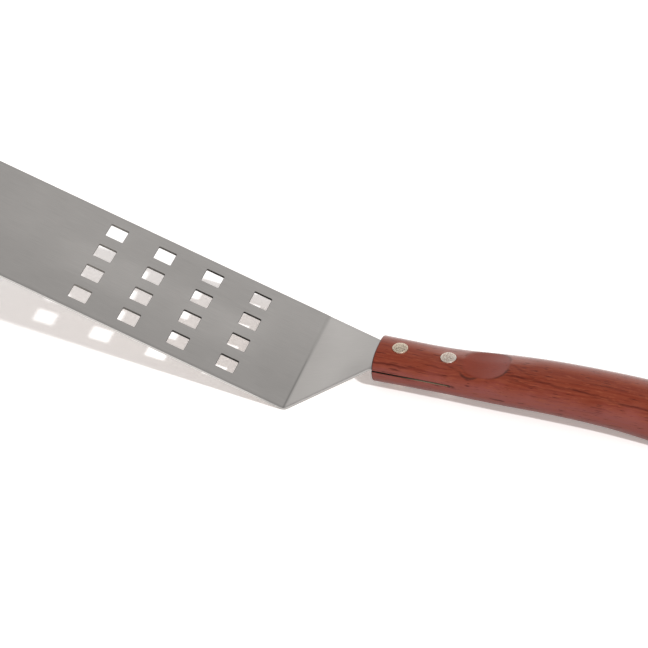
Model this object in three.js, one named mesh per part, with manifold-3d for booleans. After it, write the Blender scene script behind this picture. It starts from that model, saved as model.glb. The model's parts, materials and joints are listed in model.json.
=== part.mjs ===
// Griddle spatula: a perforated steel blade with a cranked neck, riveted into a slotted hardwood handle.
// Millimetres, +Z up. The handle points along +X, the blade tip along -X, and the spatula lies as it is
// put down on a counter: on the heel of the blade and the butt of the handle, with the tip in the air.
import * as THREE from 'three';
import { mergeVertices } from 'three/addons/utils/BufferGeometryUtils.js';
import Module from 'manifold-3d';

const wasm = await Module();
wasm.setup();

// Blade, neck and tang: one blank of sheet steel, measured from the heel line
const SHEET = 1.2;
const BLADE_LENGTH = 203.2;
const BLADE_WIDTH = 76.2;
const TIP_CORNER_RADIUS = 7;
const GROUND_LENGTH = 5; // bevel ground along the tip
const GROUND_EDGE = 0.5; // steel left at the tip
const HEEL_ANGLE = THREE.MathUtils.degToRad(39.2); // neck above the blade
const HEEL_BEND_RADIUS = 4; // inside of the bend
const HEEL_CORNER_RADIUS = 7; // where the side of the blade turns into the neck
const NECK_LENGTH = 39; // heel bend to crank bend
const TANG_ANGLE = THREE.MathUtils.degToRad(19.8); // tang and handle above the blade
const CRANK_BEND_RADIUS = 4;
const TANG_WIDTH = 22.4;
const SHOULDER_RADIUS = 5; // where the neck narrows into the tang

// Drain holes: square, in columns across the blade
const HOLE_COLUMNS = 4;
const HOLE_ROWS = 4;
const HOLE_SIDE = 9.7;
const HOLE_CORNER_RADIUS = 0.6;
const COLUMN_PITCH = 27.1;
const ROW_PITCH = 17.25;
const FIRST_COLUMN = 35.3; // heel line to the nearest column

// Handle: one piece of hardwood, measured from its front end and from the middle of the tang
const HANDLE_LENGTH = 155;
const HANDLE_GAP = 0.8; // crank bend to the front of the wood
const FRONT_ROUNDING = 0.9;
const BUTT_DOME = 11; // length over which the butt closes
const SECTION_POWER = 2.6; // 2 is an ellipse, more is squarer
const KERF_LENGTH = 41.4; // saw slot for the tang
const THUMB_REST_GAP = 2.2; // end of the slot to the scoop for the thumb
const THUMB_REST_LENGTH = 24;
const THUMB_REST_RADIUS = 37.5;

// Handle sections from front to butt: crown above the middle of the tang, belly below it, and width
const FRONT_CROWN = 7.8;
const FRONT_BELLY = 10.5;
const FRONT_WIDTH = 25.2;
const WAIST_PLACE = 36; // slim stretch over the tang
const WAIST_CROWN = 6.8;
const WAIST_BELLY = 10.2;
const WAIST_WIDTH = 26;
const THUMB_PLACE = 68; // rise behind the thumb
const THUMB_CROWN = 9.4;
const THUMB_BELLY = 10.4;
const THUMB_WIDTH = 28;
const PALM_PLACE = 90; // highest part of the grip
const PALM_CROWN = 10.5;
const PALM_BELLY = 10.3;
const PALM_WIDTH = 28.6;
const DROP_LENGTH = 33; // butt to where the grip turns down
const DROP_CROWN = 10;
const DROP_BELLY = 12.6;
const DROP_WIDTH = 29;
const BUTT_CROWN = 6.5; // before the butt is domed
const BUTT_BELLY = 17.7;
const BUTT_WIDTH = 32.4;

// Cutler's rivets: a stud pressed into a socket, with a domed head on each
const FRONT_RIVET_PLACE = 11.5; // from the front of the wood
const REAR_RIVET_MARGIN = 5.1; // from the end of the slot
const RIVET_HEAD = 7.8;
const RIVET_HEAD_SEAT = 2.2; // head sunk below the wood
const RIVET_PROUD = 0.35; // rim of the head above the wood
const RIVET_DOME = 0.5; // dome above the rim
const RIVET_BARREL = 5.4;
const RIVET_PIN = 3;
const RIVET_PIN_LENGTH = 11;

const CLEARANCE = 0.3; // between pieces that fit together
const OVERCUT = 2; // how far a cutter runs past what it cuts
const ARC_STEPS = 4; // half the steps in a rounded corner
const SMALL_ARC_STEPS = 1;
const ROUND_SIDES = 28;
const SECTION_SIDES = 48;
const HANDLE_STEPS = 34;

// Helpers: solids, outlines and smooth curves

/** Turns a geometry into a solid, with shared corners, no flat triangles and faces that point out. */
function solidOf(geometry) {
  const bare = geometry.clone();
  bare.deleteAttribute('normal');
  bare.deleteAttribute('uv');
  const joined = mergeVertices(bare, 1e-4);
  const corners = Float32Array.from(joined.attributes.position.array);
  const index = joined.index.array;
  const triangles = [];
  for (let i = 0; i < index.length; i += 3) {
    const [a, b, c] = [index[i], index[i + 1], index[i + 2]];
    if (a !== b && b !== c && c !== a) triangles.push(a, b, c);
  }
  if (signedVolume(corners, triangles) < 0) triangles.reverse();
  const mesh = new wasm.Mesh({ numProp: 3, vertProperties: corners, triVerts: Uint32Array.from(triangles) });
  return new wasm.Manifold(mesh);
}

/** Six times the volume inside a set of triangles, negative where they face inwards. */
function signedVolume(corners, triangles) {
  const [p, q, r] = [new THREE.Vector3(), new THREE.Vector3(), new THREE.Vector3()];
  let volume = 0;
  for (let i = 0; i < triangles.length; i += 3) {
    p.fromArray(corners, 3 * triangles[i]);
    q.fromArray(corners, 3 * triangles[i + 1]);
    r.fromArray(corners, 3 * triangles[i + 2]);
    volume += p.dot(q.cross(r));
  }
  return volume;
}

/** Turns a solid back into a geometry that a mesh can carry. */
function geometryOf(solid) {
  const { vertProperties, triVerts } = solid.getMesh();
  const geometry = new THREE.BufferGeometry();
  geometry.setAttribute('position', new THREE.BufferAttribute(vertProperties, 3));
  geometry.setIndex(new THREE.BufferAttribute(triVerts, 1));
  geometry.computeVertexNormals();
  return geometry;
}

/** Cuts each cutter out of a geometry. */
function cut(geometry, cutters) {
  const left = cutters.reduce((solid, cutter) => solid.subtract(solidOf(cutter)), solidOf(geometry));
  return geometryOf(left);
}

/** A closed outline through corners [x, y, radius], each rounded by an arc that touches both its sides. */
function roundedOutline(corners) {
  const shape = new THREE.Shape();
  corners.forEach(([x, y, radius = 0], i) => {
    const corner = new THREE.Vector2(x, y);
    const before = corners[(i + corners.length - 1) % corners.length];
    const after = corners[(i + 1) % corners.length];
    const back = new THREE.Vector2(before[0], before[1]).sub(corner).normalize();
    const ahead = new THREE.Vector2(after[0], after[1]).sub(corner).normalize();
    const place = i === 0 ? 'moveTo' : 'lineTo';
    if (radius === 0) {
      shape[place](x, y);
      return;
    }
    const half = Math.acos(THREE.MathUtils.clamp(back.dot(ahead), -1, 1)) / 2;
    const start = corner.clone().addScaledVector(back, radius / Math.tan(half));
    const end = corner.clone().addScaledVector(ahead, radius / Math.tan(half));
    const toCentre = back.clone().add(ahead).normalize();
    const centre = corner.clone().addScaledVector(toCentre, radius / Math.sin(half));
    const clockwise = back.cross(ahead) > 0;
    shape[place](start.x, start.y);
    shape.absarc(
      centre.x, centre.y, radius,
      start.sub(centre).angle(), end.sub(centre).angle(), clockwise,
    );
  });
  shape.closePath();
  return shape;
}

/** A prism of an outline, along +Z from one height to another. */
function prism(shape, from, to, curveSegments = ARC_STEPS) {
  const geometry = new THREE.ExtrudeGeometry(shape, { depth: to - from, bevelEnabled: false, curveSegments });
  return geometry.translate(0, 0, from);
}

/** A prism of an outline drawn in the X-Z plane, of a given width centred on that plane. */
function crosswise(shape, width) {
  return prism(shape, -width / 2, width / 2).rotateX(Math.PI / 2);
}

/** A round bar along Z. */
function bar(diameter, from, to) {
  const geometry = new THREE.CylinderGeometry(diameter / 2, diameter / 2, to - from, ROUND_SIDES);
  return geometry.rotateX(Math.PI / 2).translate(0, 0, (from + to) / 2);
}

/** A body turned round Z from a profile of [radius, height] points. */
function turned(profile) {
  const points = profile.map(([radius, height]) => new THREE.Vector2(radius, height));
  return new THREE.LatheGeometry(points, ROUND_SIDES).rotateX(Math.PI / 2);
}

/** A smooth curve through [place, value] points, as a function of the place. */
function smoothCurve(points) {
  const slope = points.map((_, i) => {
    const before = points[Math.max(i - 1, 0)];
    const after = points[Math.min(i + 1, points.length - 1)];
    return (after[1] - before[1]) / (after[0] - before[0]);
  });
  return (place) => {
    const last = points.length - 2;
    const i = Math.min(Math.max(points.findIndex((p) => p[0] > place) - 1, 0), last);
    const k = place >= points[last + 1][0] ? last : i;
    const [x0, y0] = points[k];
    const [x1, y1] = points[k + 1];
    const span = x1 - x0;
    const t = THREE.MathUtils.clamp((place - x0) / span, 0, 1);
    const rise = y1 - y0;
    const bendIn = slope[k] * span - rise;
    const bendOut = rise - slope[k + 1] * span;
    return y0 + rise * t + t * (1 - t) * (bendIn * (1 - t) + bendOut * t);
  };
}

/** A skin over rings of equal count, closed at both ends by a fan. */
function loft(rings) {
  const sides = rings[0].length;
  const middle = (ring) => ring.reduce((sum, p) => sum.add(p), new THREE.Vector3()).divideScalar(sides);
  const points = [...rings.flat(), middle(rings[0]), middle(rings[rings.length - 1])];
  const first = rings.length * sides;
  const faces = [];
  for (let side = 0; side < sides; side += 1) {
    const next = (side + 1) % sides;
    for (let ring = 0; ring < rings.length - 1; ring += 1) {
      const here = ring * sides;
      const there = here + sides;
      faces.push(here + side, there + side, there + next, here + side, there + next, here + next);
    }
    faces.push(first, side, next);
    faces.push(first + 1, first - sides + next, first - sides + side);
  }
  const geometry = new THREE.BufferGeometry().setFromPoints(points);
  geometry.setIndex(faces);
  return geometry;
}

// Blade

/** The point at a distance from a start, in a direction given as an angle above +X. */
function along(start, angle, distance) {
  return new THREE.Vector2(Math.cos(angle), Math.sin(angle)).multiplyScalar(distance).add(start);
}

// Middle of the sheet, seen from the side: the upper faces of blade and neck meet at x = 0
const heel = new THREE.Vector2((SHEET / 2) * Math.tan(HEEL_ANGLE / 2), SHEET / 2);
const crank = along(heel, HEEL_ANGLE, NECK_LENGTH);
const handleFront = along(crank, TANG_ANGLE, HANDLE_GAP);
const rivetPlaces = [FRONT_RIVET_PLACE, KERF_LENGTH - REAR_RIVET_MARGIN];
const tangEnd = along(handleFront, TANG_ANGLE, KERF_LENGTH - 2 * CLEARANCE);

/** The corner of the upper (+1) or lower (-1) face at a bend of the sheet. */
function bendCorner(middle, angleBefore, angleAfter, side) {
  const lean = (angleBefore + angleAfter) / 2 + Math.PI / 2;
  const reach = SHEET / 2 / Math.cos((angleAfter - angleBefore) / 2);
  return along(middle, lean, side * reach).toArray();
}

/** The side view of the bent sheet, with the bevel ground along the tip. */
function sheetProfile() {
  const thick = (side) => along(tangEnd, TANG_ANGLE + Math.PI / 2, (side * SHEET) / 2).toArray();
  const outside = (radius) => radius + SHEET;
  return roundedOutline([
    [-BLADE_LENGTH, 0],
    [...bendCorner(heel, 0, HEEL_ANGLE, -1), outside(HEEL_BEND_RADIUS)],
    [...bendCorner(crank, HEEL_ANGLE, TANG_ANGLE, -1), CRANK_BEND_RADIUS],
    thick(-1),
    thick(1),
    [...bendCorner(crank, HEEL_ANGLE, TANG_ANGLE, 1), outside(CRANK_BEND_RADIUS)],
    [...bendCorner(heel, 0, HEEL_ANGLE, 1), HEEL_BEND_RADIUS],
    [GROUND_LENGTH - BLADE_LENGTH, SHEET],
    [-BLADE_LENGTH, GROUND_EDGE],
  ]);
}

/** What is cut away on one side (+1 or -1) to narrow the neck from the blade's width to the tang's. */
function neckTrim(side) {
  const edge = BLADE_WIDTH / 2;
  const past = edge + OVERCUT;
  const far = NECK_LENGTH + HANDLE_GAP + KERF_LENGTH + OVERCUT;
  const behind = -HEEL_CORNER_RADIUS;
  const outline = roundedOutline([
    [behind, side * edge],
    [0, side * edge, HEEL_CORNER_RADIUS],
    [NECK_LENGTH, (side * TANG_WIDTH) / 2, SHOULDER_RADIUS],
    [far, (side * TANG_WIDTH) / 2],
    [far, side * past],
    [behind, side * past],
  ]);
  const reach = NECK_LENGTH + KERF_LENGTH; // the tang bends away from the plane of the neck
  return prism(outline, -reach, reach).rotateY(-HEEL_ANGLE).translate(heel.x, 0, heel.y);
}

/** What is cut away to round one corner of the tip. */
function tipCorner(side) {
  const edge = (side * BLADE_WIDTH) / 2;
  const past = edge + side * OVERCUT;
  const inside = edge - side * 2 * TIP_CORNER_RADIUS;
  const behind = 2 * TIP_CORNER_RADIUS - BLADE_LENGTH;
  const outline = roundedOutline([
    [-BLADE_LENGTH, inside],
    [-BLADE_LENGTH, edge, TIP_CORNER_RADIUS],
    [behind, edge],
    [behind, past],
    [-BLADE_LENGTH - OVERCUT, past],
    [-BLADE_LENGTH - OVERCUT, inside],
  ]);
  return prism(outline, -OVERCUT, SHEET + OVERCUT);
}

/** The punches of the drain holes. */
function drainHoles() {
  const half = HOLE_SIDE / 2;
  const corners = [[-half, -half], [half, -half], [half, half], [-half, half]];
  const square = roundedOutline(corners.map(([x, y]) => [x, y, HOLE_CORNER_RADIUS]));
  const punches = [];
  for (let column = 0; column < HOLE_COLUMNS; column += 1) {
    for (let row = 0; row < HOLE_ROWS; row += 1) {
      const x = -FIRST_COLUMN - column * COLUMN_PITCH;
      const y = (row - (HOLE_ROWS - 1) / 2) * ROW_PITCH;
      punches.push(prism(square, -OVERCUT, SHEET + OVERCUT, SMALL_ARC_STEPS).translate(x, y, 0));
    }
  }
  return punches;
}

/** The holes through the tang for the rivets. */
function tangHoles() {
  return rivetPlaces.map((place) => {
    const centre = along(handleFront, TANG_ANGLE, place);
    const hole = bar(RIVET_BARREL + 2 * CLEARANCE, -SHEET - OVERCUT, SHEET + OVERCUT);
    return hole.rotateY(-TANG_ANGLE).translate(centre.x, 0, centre.y);
  });
}

function bladeGeometry() {
  const sheet = crosswise(sheetProfile(), BLADE_WIDTH);
  const trims = [neckTrim(1), neckTrim(-1), tipCorner(1), tipCorner(-1)];
  return cut(sheet, [...trims, ...drainHoles(), ...tangHoles()]);
}

// Handle, in its own frame: +X from the front of the wood to the butt, z = 0 in the middle of the tang

const sections = [
  { at: 0, crown: FRONT_CROWN, belly: FRONT_BELLY, width: FRONT_WIDTH },
  { at: WAIST_PLACE, crown: WAIST_CROWN, belly: WAIST_BELLY, width: WAIST_WIDTH },
  { at: THUMB_PLACE, crown: THUMB_CROWN, belly: THUMB_BELLY, width: THUMB_WIDTH },
  { at: PALM_PLACE, crown: PALM_CROWN, belly: PALM_BELLY, width: PALM_WIDTH },
  { at: HANDLE_LENGTH - DROP_LENGTH, crown: DROP_CROWN, belly: DROP_BELLY, width: DROP_WIDTH },
  { at: HANDLE_LENGTH, crown: BUTT_CROWN, belly: BUTT_BELLY, width: BUTT_WIDTH },
];
const crownAt = smoothCurve(sections.map(({ at, crown }) => [at, crown]));
const bellyAt = smoothCurve(sections.map(({ at, belly }) => [at, belly]));
const halfWidthAt = smoothCurve(sections.map(({ at, width }) => [at, width / 2]));
const acrossHandle = Math.max(...sections.map(({ width }) => width)) + 2 * OVERCUT;

/** One section of the handle, drawn in from its full size by an inset and then a share. */
function handleRing(place, inset, share) {
  const crown = crownAt(place) - inset;
  const belly = bellyAt(place) - inset;
  const half = halfWidthAt(place) - inset;
  const centre = (crown - belly) / 2;
  const widest = (crown - belly) / 4; // between the tang and the middle of the section
  const ring = [];
  for (let i = 0; i < SECTION_SIDES; i += 1) {
    const turn = (2 * Math.PI * i) / SECTION_SIDES;
    const across = Math.sign(Math.cos(turn)) * Math.abs(Math.cos(turn)) ** (2 / SECTION_POWER);
    const upward = Math.sign(Math.sin(turn)) * Math.abs(Math.sin(turn)) ** (2 / SECTION_POWER);
    const reach = upward > 0 ? crown - widest : belly + widest;
    const height = widest + reach * upward;
    ring.push(new THREE.Vector3(place, share * half * across, centre + share * (height - centre)));
  }
  return ring;
}

/** The handle before it is cut: an eased front edge, the grip, and a domed butt. */
function handleBlank() {
  const rings = [];
  for (let i = 0; i < ARC_STEPS; i += 1) {
    const turn = (Math.PI / 2) * (i / ARC_STEPS);
    rings.push(handleRing(FRONT_ROUNDING * (1 - Math.cos(turn)), FRONT_ROUNDING * (1 - Math.sin(turn)), 1));
  }
  const domeStart = HANDLE_LENGTH - BUTT_DOME;
  for (let i = 0; i < HANDLE_STEPS; i += 1) {
    rings.push(handleRing(THREE.MathUtils.lerp(FRONT_ROUNDING, domeStart, i / HANDLE_STEPS), 0, 1));
  }
  const domeSteps = 2 * ARC_STEPS;
  for (let i = 0; i < domeSteps; i += 1) {
    const turn = (Math.PI / 2) * (i / domeSteps);
    rings.push(handleRing(domeStart + BUTT_DOME * Math.sin(turn), 0, Math.cos(turn) ** (2 / SECTION_POWER)));
  }
  return loft(rings);
}

/** The saw slot that the tang slides into, with a round end. */
function kerf() {
  const half = SHEET / 2 + CLEARANCE;
  const outline = roundedOutline([
    [-OVERCUT, -half],
    [KERF_LENGTH, -half, half],
    [KERF_LENGTH, half, half],
    [-OVERCUT, half],
  ]);
  return crosswise(outline, acrossHandle);
}

/** The scoop for the thumb: a shallow arc across the crown, from one point of it to another. */
function thumbRest() {
  const from = KERF_LENGTH + THUMB_REST_GAP;
  const to = from + THUMB_REST_LENGTH;
  const start = new THREE.Vector2(from, crownAt(from));
  const end = new THREE.Vector2(to, crownAt(to));
  const chord = end.clone().sub(start);
  const middle = start.clone().lerp(end, 0.5);
  const outward = chord.angle() + Math.PI / 2;
  const rise = Math.sqrt(THUMB_REST_RADIUS ** 2 - chord.lengthSq() / 4);
  const centre = along(middle, outward, rise);
  const outline = new THREE.Shape();
  const startTurn = start.clone().sub(centre).angle();
  const endTurn = end.clone().sub(centre).angle();
  outline.absarc(centre.x, centre.y, THUMB_REST_RADIUS, startTurn, endTurn, false);
  outline.lineTo(...along(end, outward, chord.length()).toArray());
  outline.lineTo(...along(start, outward, chord.length()).toArray());
  outline.closePath();
  return crosswise(outline, acrossHandle);
}

/** Where a rivet sits: the seats of its two heads, under the crown and under the belly. */
function rivetSeats(place) {
  return { upper: crownAt(place) - RIVET_HEAD_SEAT, lower: RIVET_HEAD_SEAT - bellyAt(place) };
}

/** The stepped hole for one rivet: a bore for the barrel and a counterbore for each head. */
function rivetHole(place) {
  const { upper, lower } = rivetSeats(place);
  const past = RIVET_HEAD_SEAT + OVERCUT;
  const head = RIVET_HEAD + 2 * CLEARANCE;
  const steps = [
    bar(RIVET_BARREL + 2 * CLEARANCE, lower - OVERCUT / 2, upper + OVERCUT / 2),
    bar(head, upper, upper + past),
    bar(head, lower - past, lower),
  ];
  return steps.map((step) => step.translate(place, 0, 0));
}

function handleGeometry() {
  return cut(handleBlank(), [kerf(), thumbRest(), ...rivetPlaces.flatMap(rivetHole)]);
}

// Rivets, about their own axis with z = 0 in the middle of the tang

/** The domed face of a head as [radius, height] points, from the axis to the rim. */
function domePoints(rim) {
  const points = [];
  for (let i = 0; i < 2 * ARC_STEPS; i += 1) {
    const turn = (Math.PI / 2) * (i / (2 * ARC_STEPS));
    points.push([(RIVET_HEAD / 2) * Math.sin(turn), rim + RIVET_DOME * Math.cos(turn)]);
  }
  return [...points, [RIVET_HEAD / 2, rim]];
}

/** The upper half: a head on a solid pin. */
function studGeometry(place) {
  const seat = rivetSeats(place).upper + CLEARANCE;
  const rim = crownAt(place) + RIVET_PROUD;
  const pinEnd = seat - RIVET_PIN_LENGTH;
  return turned([
    ...domePoints(rim),
    [RIVET_HEAD / 2, seat],
    [RIVET_PIN / 2, seat],
    [RIVET_PIN / 2, pinEnd],
    [0, pinEnd],
  ]);
}

/** The lower half: a head on a barrel, bored for the pin. */
function socketGeometry(place) {
  const seats = rivetSeats(place);
  const seat = seats.lower - CLEARANCE;
  const rim = -bellyAt(place) - RIVET_PROUD;
  const barrelEnd = seats.upper; // just under the head of the stud
  const boreEnd = barrelEnd - RIVET_PIN_LENGTH;
  const bore = RIVET_PIN / 2 + CLEARANCE;
  return turned([
    ...domePoints(-rim).map(([radius, height]) => [radius, -height]),
    [RIVET_HEAD / 2, seat],
    [RIVET_BARREL / 2, seat],
    [RIVET_BARREL / 2, barrelEnd],
    [bore, barrelEnd],
    [bore, boreEnd],
    [0, boreEnd],
  ]);
}

// Assembly

const steel = { color: 0x9b9893, roughness: 0.38, metalness: 1 };
const hardwood = { color: 0x83432f, roughness: 0.42, metalness: 0 };
const nickel = { color: 0xb4a795, roughness: 0.3, metalness: 1 };

/** A named piece with a finish of its own. */
function piece(name, geometry, finish) {
  const mesh = new THREE.Mesh(geometry, new THREE.MeshStandardMaterial(finish));
  mesh.name = name;
  return mesh;
}

const handle = new THREE.Group();
handle.add(piece('handle', handleGeometry(), hardwood));
rivetPlaces.forEach((place, i) => {
  const end = ['front', 'rear'][i];
  const rivet = new THREE.Group();
  rivet.position.x = place;
  rivet.add(piece(`${end}_rivet_stud`, geometryOf(solidOf(studGeometry(place))), nickel));
  rivet.add(piece(`${end}_rivet_socket`, geometryOf(solidOf(socketGeometry(place))), nickel));
  handle.add(rivet);
});
handle.position.set(handleFront.x, 0, handleFront.y);
handle.rotation.y = -TANG_ANGLE;

const spatula = new THREE.Group();
spatula.add(piece('blade', bladeGeometry(), steel), handle);

/** How far the spatula leans back to stand on the heel bend and the lowest point of the handle. */
function restingLean() {
  const outer = HEEL_BEND_RADIUS + SHEET;
  const bendStart = -(HEEL_BEND_RADIUS + SHEET / 2) * Math.tan(HEEL_ANGLE / 2) + heel.x;
  handle.updateMatrixWorld(true);
  const wood = handle.children[0];
  const corners = wood.geometry.attributes.position;
  const point = new THREE.Vector3();
  let lean = Infinity;
  for (let i = 0; i < corners.count; i += 1) {
    point.fromBufferAttribute(corners, i).applyMatrix4(wood.matrixWorld);
    const reach = Math.hypot(point.x - bendStart, point.z - outer);
    const bearing = Math.atan2(point.z - outer, point.x - bendStart);
    lean = Math.min(lean, bearing + Math.asin(outer / reach));
  }
  return lean;
}

spatula.rotation.y = restingLean();

// The origin is under the middle of the whole object, on the counter
const box = new THREE.Box3().setFromObject(spatula, true);
const middle = box.getCenter(new THREE.Vector3());
spatula.position.set(-middle.x, -middle.y, -box.min.z);

const part = new THREE.Group();
part.add(spatula);
part.updateMatrixWorld(true);

export default part;
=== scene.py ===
"""Looks of a griddle spatula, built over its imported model.

A blank of sheet steel is cut flat, punched, ground at its tip and bent twice. A hardwood handle is
lofted, scooped for the thumb and slotted for the tang. Two cutler's rivets are turned in nickel silver.
Sizes are in millimetres and angles in radians until a mesh is placed in the row frame, in metres.
"""

from __future__ import annotations

import json
import logging
import math
from abc import ABC, abstractmethod
from dataclasses import dataclass, field
from enum import Enum
from functools import partial, reduce
from typing import Any, ClassVar, Sequence

import bmesh
import bpy
import numpy as np
from mathutils import Matrix, Vector

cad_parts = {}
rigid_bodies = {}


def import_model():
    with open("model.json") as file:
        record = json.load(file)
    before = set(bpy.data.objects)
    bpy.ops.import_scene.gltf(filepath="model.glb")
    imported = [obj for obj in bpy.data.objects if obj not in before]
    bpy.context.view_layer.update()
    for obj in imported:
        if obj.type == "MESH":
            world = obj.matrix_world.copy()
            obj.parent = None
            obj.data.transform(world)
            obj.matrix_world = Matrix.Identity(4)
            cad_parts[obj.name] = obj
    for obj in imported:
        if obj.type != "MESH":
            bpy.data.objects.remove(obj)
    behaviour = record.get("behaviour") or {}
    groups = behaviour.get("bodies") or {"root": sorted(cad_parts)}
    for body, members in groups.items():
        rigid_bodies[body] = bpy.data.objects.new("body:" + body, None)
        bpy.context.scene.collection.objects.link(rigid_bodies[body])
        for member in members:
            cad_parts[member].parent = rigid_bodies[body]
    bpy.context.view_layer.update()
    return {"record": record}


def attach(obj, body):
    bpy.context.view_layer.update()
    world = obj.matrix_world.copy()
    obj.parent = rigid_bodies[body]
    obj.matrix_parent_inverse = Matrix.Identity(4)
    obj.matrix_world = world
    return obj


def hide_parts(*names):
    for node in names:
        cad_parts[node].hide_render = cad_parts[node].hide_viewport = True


LOG = logging.getLogger("griddle_spatula")
BODY = "root"
UNDERSIDE_MOUNT = "blade_underside"
MM = 0.001
PLACE = "place"  # mesh attribute: where a point lies in its own piece, in millimetres
SCOOP = "scoop"  # mesh attribute: how far a point of the handle lies inside the thumb rest
CREASE = "crease"  # mesh attribute: how near a point of the handle lies to the rim of the thumb rest
RIM = "rim"  # mesh attribute: how near a point of a rivet lies to the rim of its head
MIX_FIRST, MIX_SECOND, MIX_RESULT = 6, 7, 2  # the colour sockets of a Mix node
WHITE = (1.0, 1.0, 1.0, 1.0)

Axes = tuple[float, float, float]
Colour = tuple[float, float, float, float]
Socket = bpy.types.NodeSocket
Span = tuple[float, float]


class RivetEnd(Enum):
    """Which of the two rivets a piece belongs to."""

    FRONT = "front"
    REAR = "rear"


class SheetFace(Enum):
    """The material slots of the blade, in order."""

    POLISHED = 0
    GROUND = 1
    SHEARED = 2


# Geometry helpers


@dataclass(frozen=True)
class Corner:
    """A corner of a flat outline, with the radius that rounds it."""

    x: float
    y: float
    radius: float = 0.0


def rounded_loop(corners: Sequence[Corner], steps: int) -> np.ndarray:
    """Draws a closed loop through corners, each rounded by an arc.

    Args:
        corners: the corners in order.
        steps: how many spans an arc is drawn with.

    Returns:
        The points of the loop, one row each.
    """
    points: list[np.ndarray] = []
    for i, corner in enumerate(corners):
        here = np.array((corner.x, corner.y))
        if corner.radius == 0:
            points.append(here)
            continue
        before, after = corners[i - 1], corners[(i + 1) % len(corners)]
        back = np.array((before.x, before.y)) - here
        ahead = np.array((after.x, after.y)) - here
        back /= np.linalg.norm(back)
        ahead /= np.linalg.norm(ahead)
        half = math.acos(float(np.clip(back @ ahead, -1, 1))) / 2
        inward = (back + ahead) / np.linalg.norm(back + ahead)
        centre = here + inward * corner.radius / math.sin(half)
        start = here + back * corner.radius / math.tan(half) - centre
        end = here + ahead * corner.radius / math.tan(half) - centre
        sweep = math.pi - 2 * half
        for share in np.linspace(0, 1, steps + 1):
            mixed = math.sin((1 - share) * sweep) * start + math.sin(share * sweep) * end
            points.append(centre + mixed / math.sin(sweep))
    return np.array(points)


def inset_loop(loop: np.ndarray, depth: float) -> np.ndarray:
    """Moves a closed loop sideways.

    Args:
        loop: the points of the loop, one row each.
        depth: how far to its left the loop moves.

    Returns:
        The moved points.
    """
    forward = np.roll(loop, -1, axis=0) - loop
    forward /= np.linalg.norm(forward, axis=1, keepdims=True)
    left = np.stack((-forward[:, 1], forward[:, 0]), axis=1)
    before = np.roll(left, 1, axis=0)
    spread = 1 + np.sum(left * before, axis=1, keepdims=True)
    return loop + depth * (left + before) / spread


@dataclass(frozen=True)
class SmoothCurve:
    """A smooth curve through values at given places."""

    places: tuple[float, ...]
    values: tuple[float, ...]

    def at(self, place: np.ndarray | float) -> np.ndarray:
        """Gives the curve's value.

        Args:
            place: one place or several.

        Returns:
            The value at each place.
        """
        x = np.array(self.places)
        y = np.array(self.values)
        before = np.maximum(np.arange(len(x)) - 1, 0)
        after = np.minimum(np.arange(len(x)) + 1, len(x) - 1)
        slope = (y[after] - y[before]) / (x[after] - x[before])
        k = np.clip(np.searchsorted(x, place, side="right") - 1, 0, len(x) - 2)
        span = x[k + 1] - x[k]
        share = np.clip((place - x[k]) / span, 0, 1)
        rise = y[k + 1] - y[k]
        bend_in = slope[k] * span - rise
        bend_out = rise - slope[k + 1] * span
        return y[k] + rise * share + share * (1 - share) * (bend_in * (1 - share) + bend_out * share)


def pitched(points: np.ndarray, angle: float) -> np.ndarray:
    """Turns points about the Y axis.

    Args:
        points: the points, one row each.
        angle: how far the X axis turns towards the Z axis.

    Returns:
        The turned points.
    """
    x, y, z = points.T
    sine, cosine = math.sin(angle), math.cos(angle)
    return np.stack((x * cosine - z * sine, y, x * sine + z * cosine), axis=1)


def show(name: str, data: bpy.types.ID) -> bpy.types.Object:
    """Puts an object in the scene.

    Args:
        name: the object's name.
        data: its mesh, lamp or camera.

    Returns:
        The new object.
    """
    made = bpy.data.objects.new(name, data)
    bpy.context.scene.collection.objects.link(made)
    return made


def mesh_object(name: str, points: np.ndarray, faces: Sequence[tuple[int, ...]]) -> bpy.types.Object:
    """Makes an object in the scene from points and faces.

    Args:
        name: the object's name.
        points: the corners, one row each.
        faces: the corner numbers of each face.

    Returns:
        The new object.
    """
    mesh = bpy.data.meshes.new(name)
    mesh.from_pydata([tuple(point) for point in points], [], faces)
    mesh.validate()
    return show(name, mesh)


def corners_of(mesh: bpy.types.Mesh) -> np.ndarray:
    """Reads a mesh's corners.

    Args:
        mesh: the mesh to read.

    Returns:
        The corners, one row each.
    """
    flat = np.zeros(3 * len(mesh.vertices), np.float32)
    mesh.vertices.foreach_get("co", flat)
    return flat.reshape(-1, 3).astype(float)


def set_corners(mesh: bpy.types.Mesh, points: np.ndarray) -> None:
    """Moves a mesh's corners to new points, one row each."""
    mesh.vertices.foreach_set("co", points.astype(np.float32).ravel())
    mesh.update()


def store(mesh: bpy.types.Mesh, name: str, values: np.ndarray) -> None:
    """Stores a number or a vector at each corner of a mesh.

    Args:
        mesh: the mesh that carries the values.
        name: the attribute's name.
        values: one number or one row for each corner.
    """
    kind, key = ("FLOAT", "value") if values.ndim == 1 else ("FLOAT_VECTOR", "vector")
    attribute = mesh.attributes.new(name, kind, "POINT")
    attribute.data.foreach_set(key, values.astype(np.float32).ravel())


def shade(mesh: bpy.types.Mesh, crease_angle: float) -> None:
    """Shades a mesh smooth, apart from edges sharper than an angle."""
    mesh.shade_smooth()
    mesh.set_sharp_from_angle(angle=crease_angle)


def face_outward(mesh: bpy.types.Mesh) -> None:
    """Turns every face of a closed mesh to the outside.

    Args:
        mesh: the mesh to change.
    """
    work = bmesh.new()
    work.from_mesh(mesh)
    bmesh.ops.recalc_face_normals(work, faces=work.faces)
    work.to_mesh(mesh)
    work.free()


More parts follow.
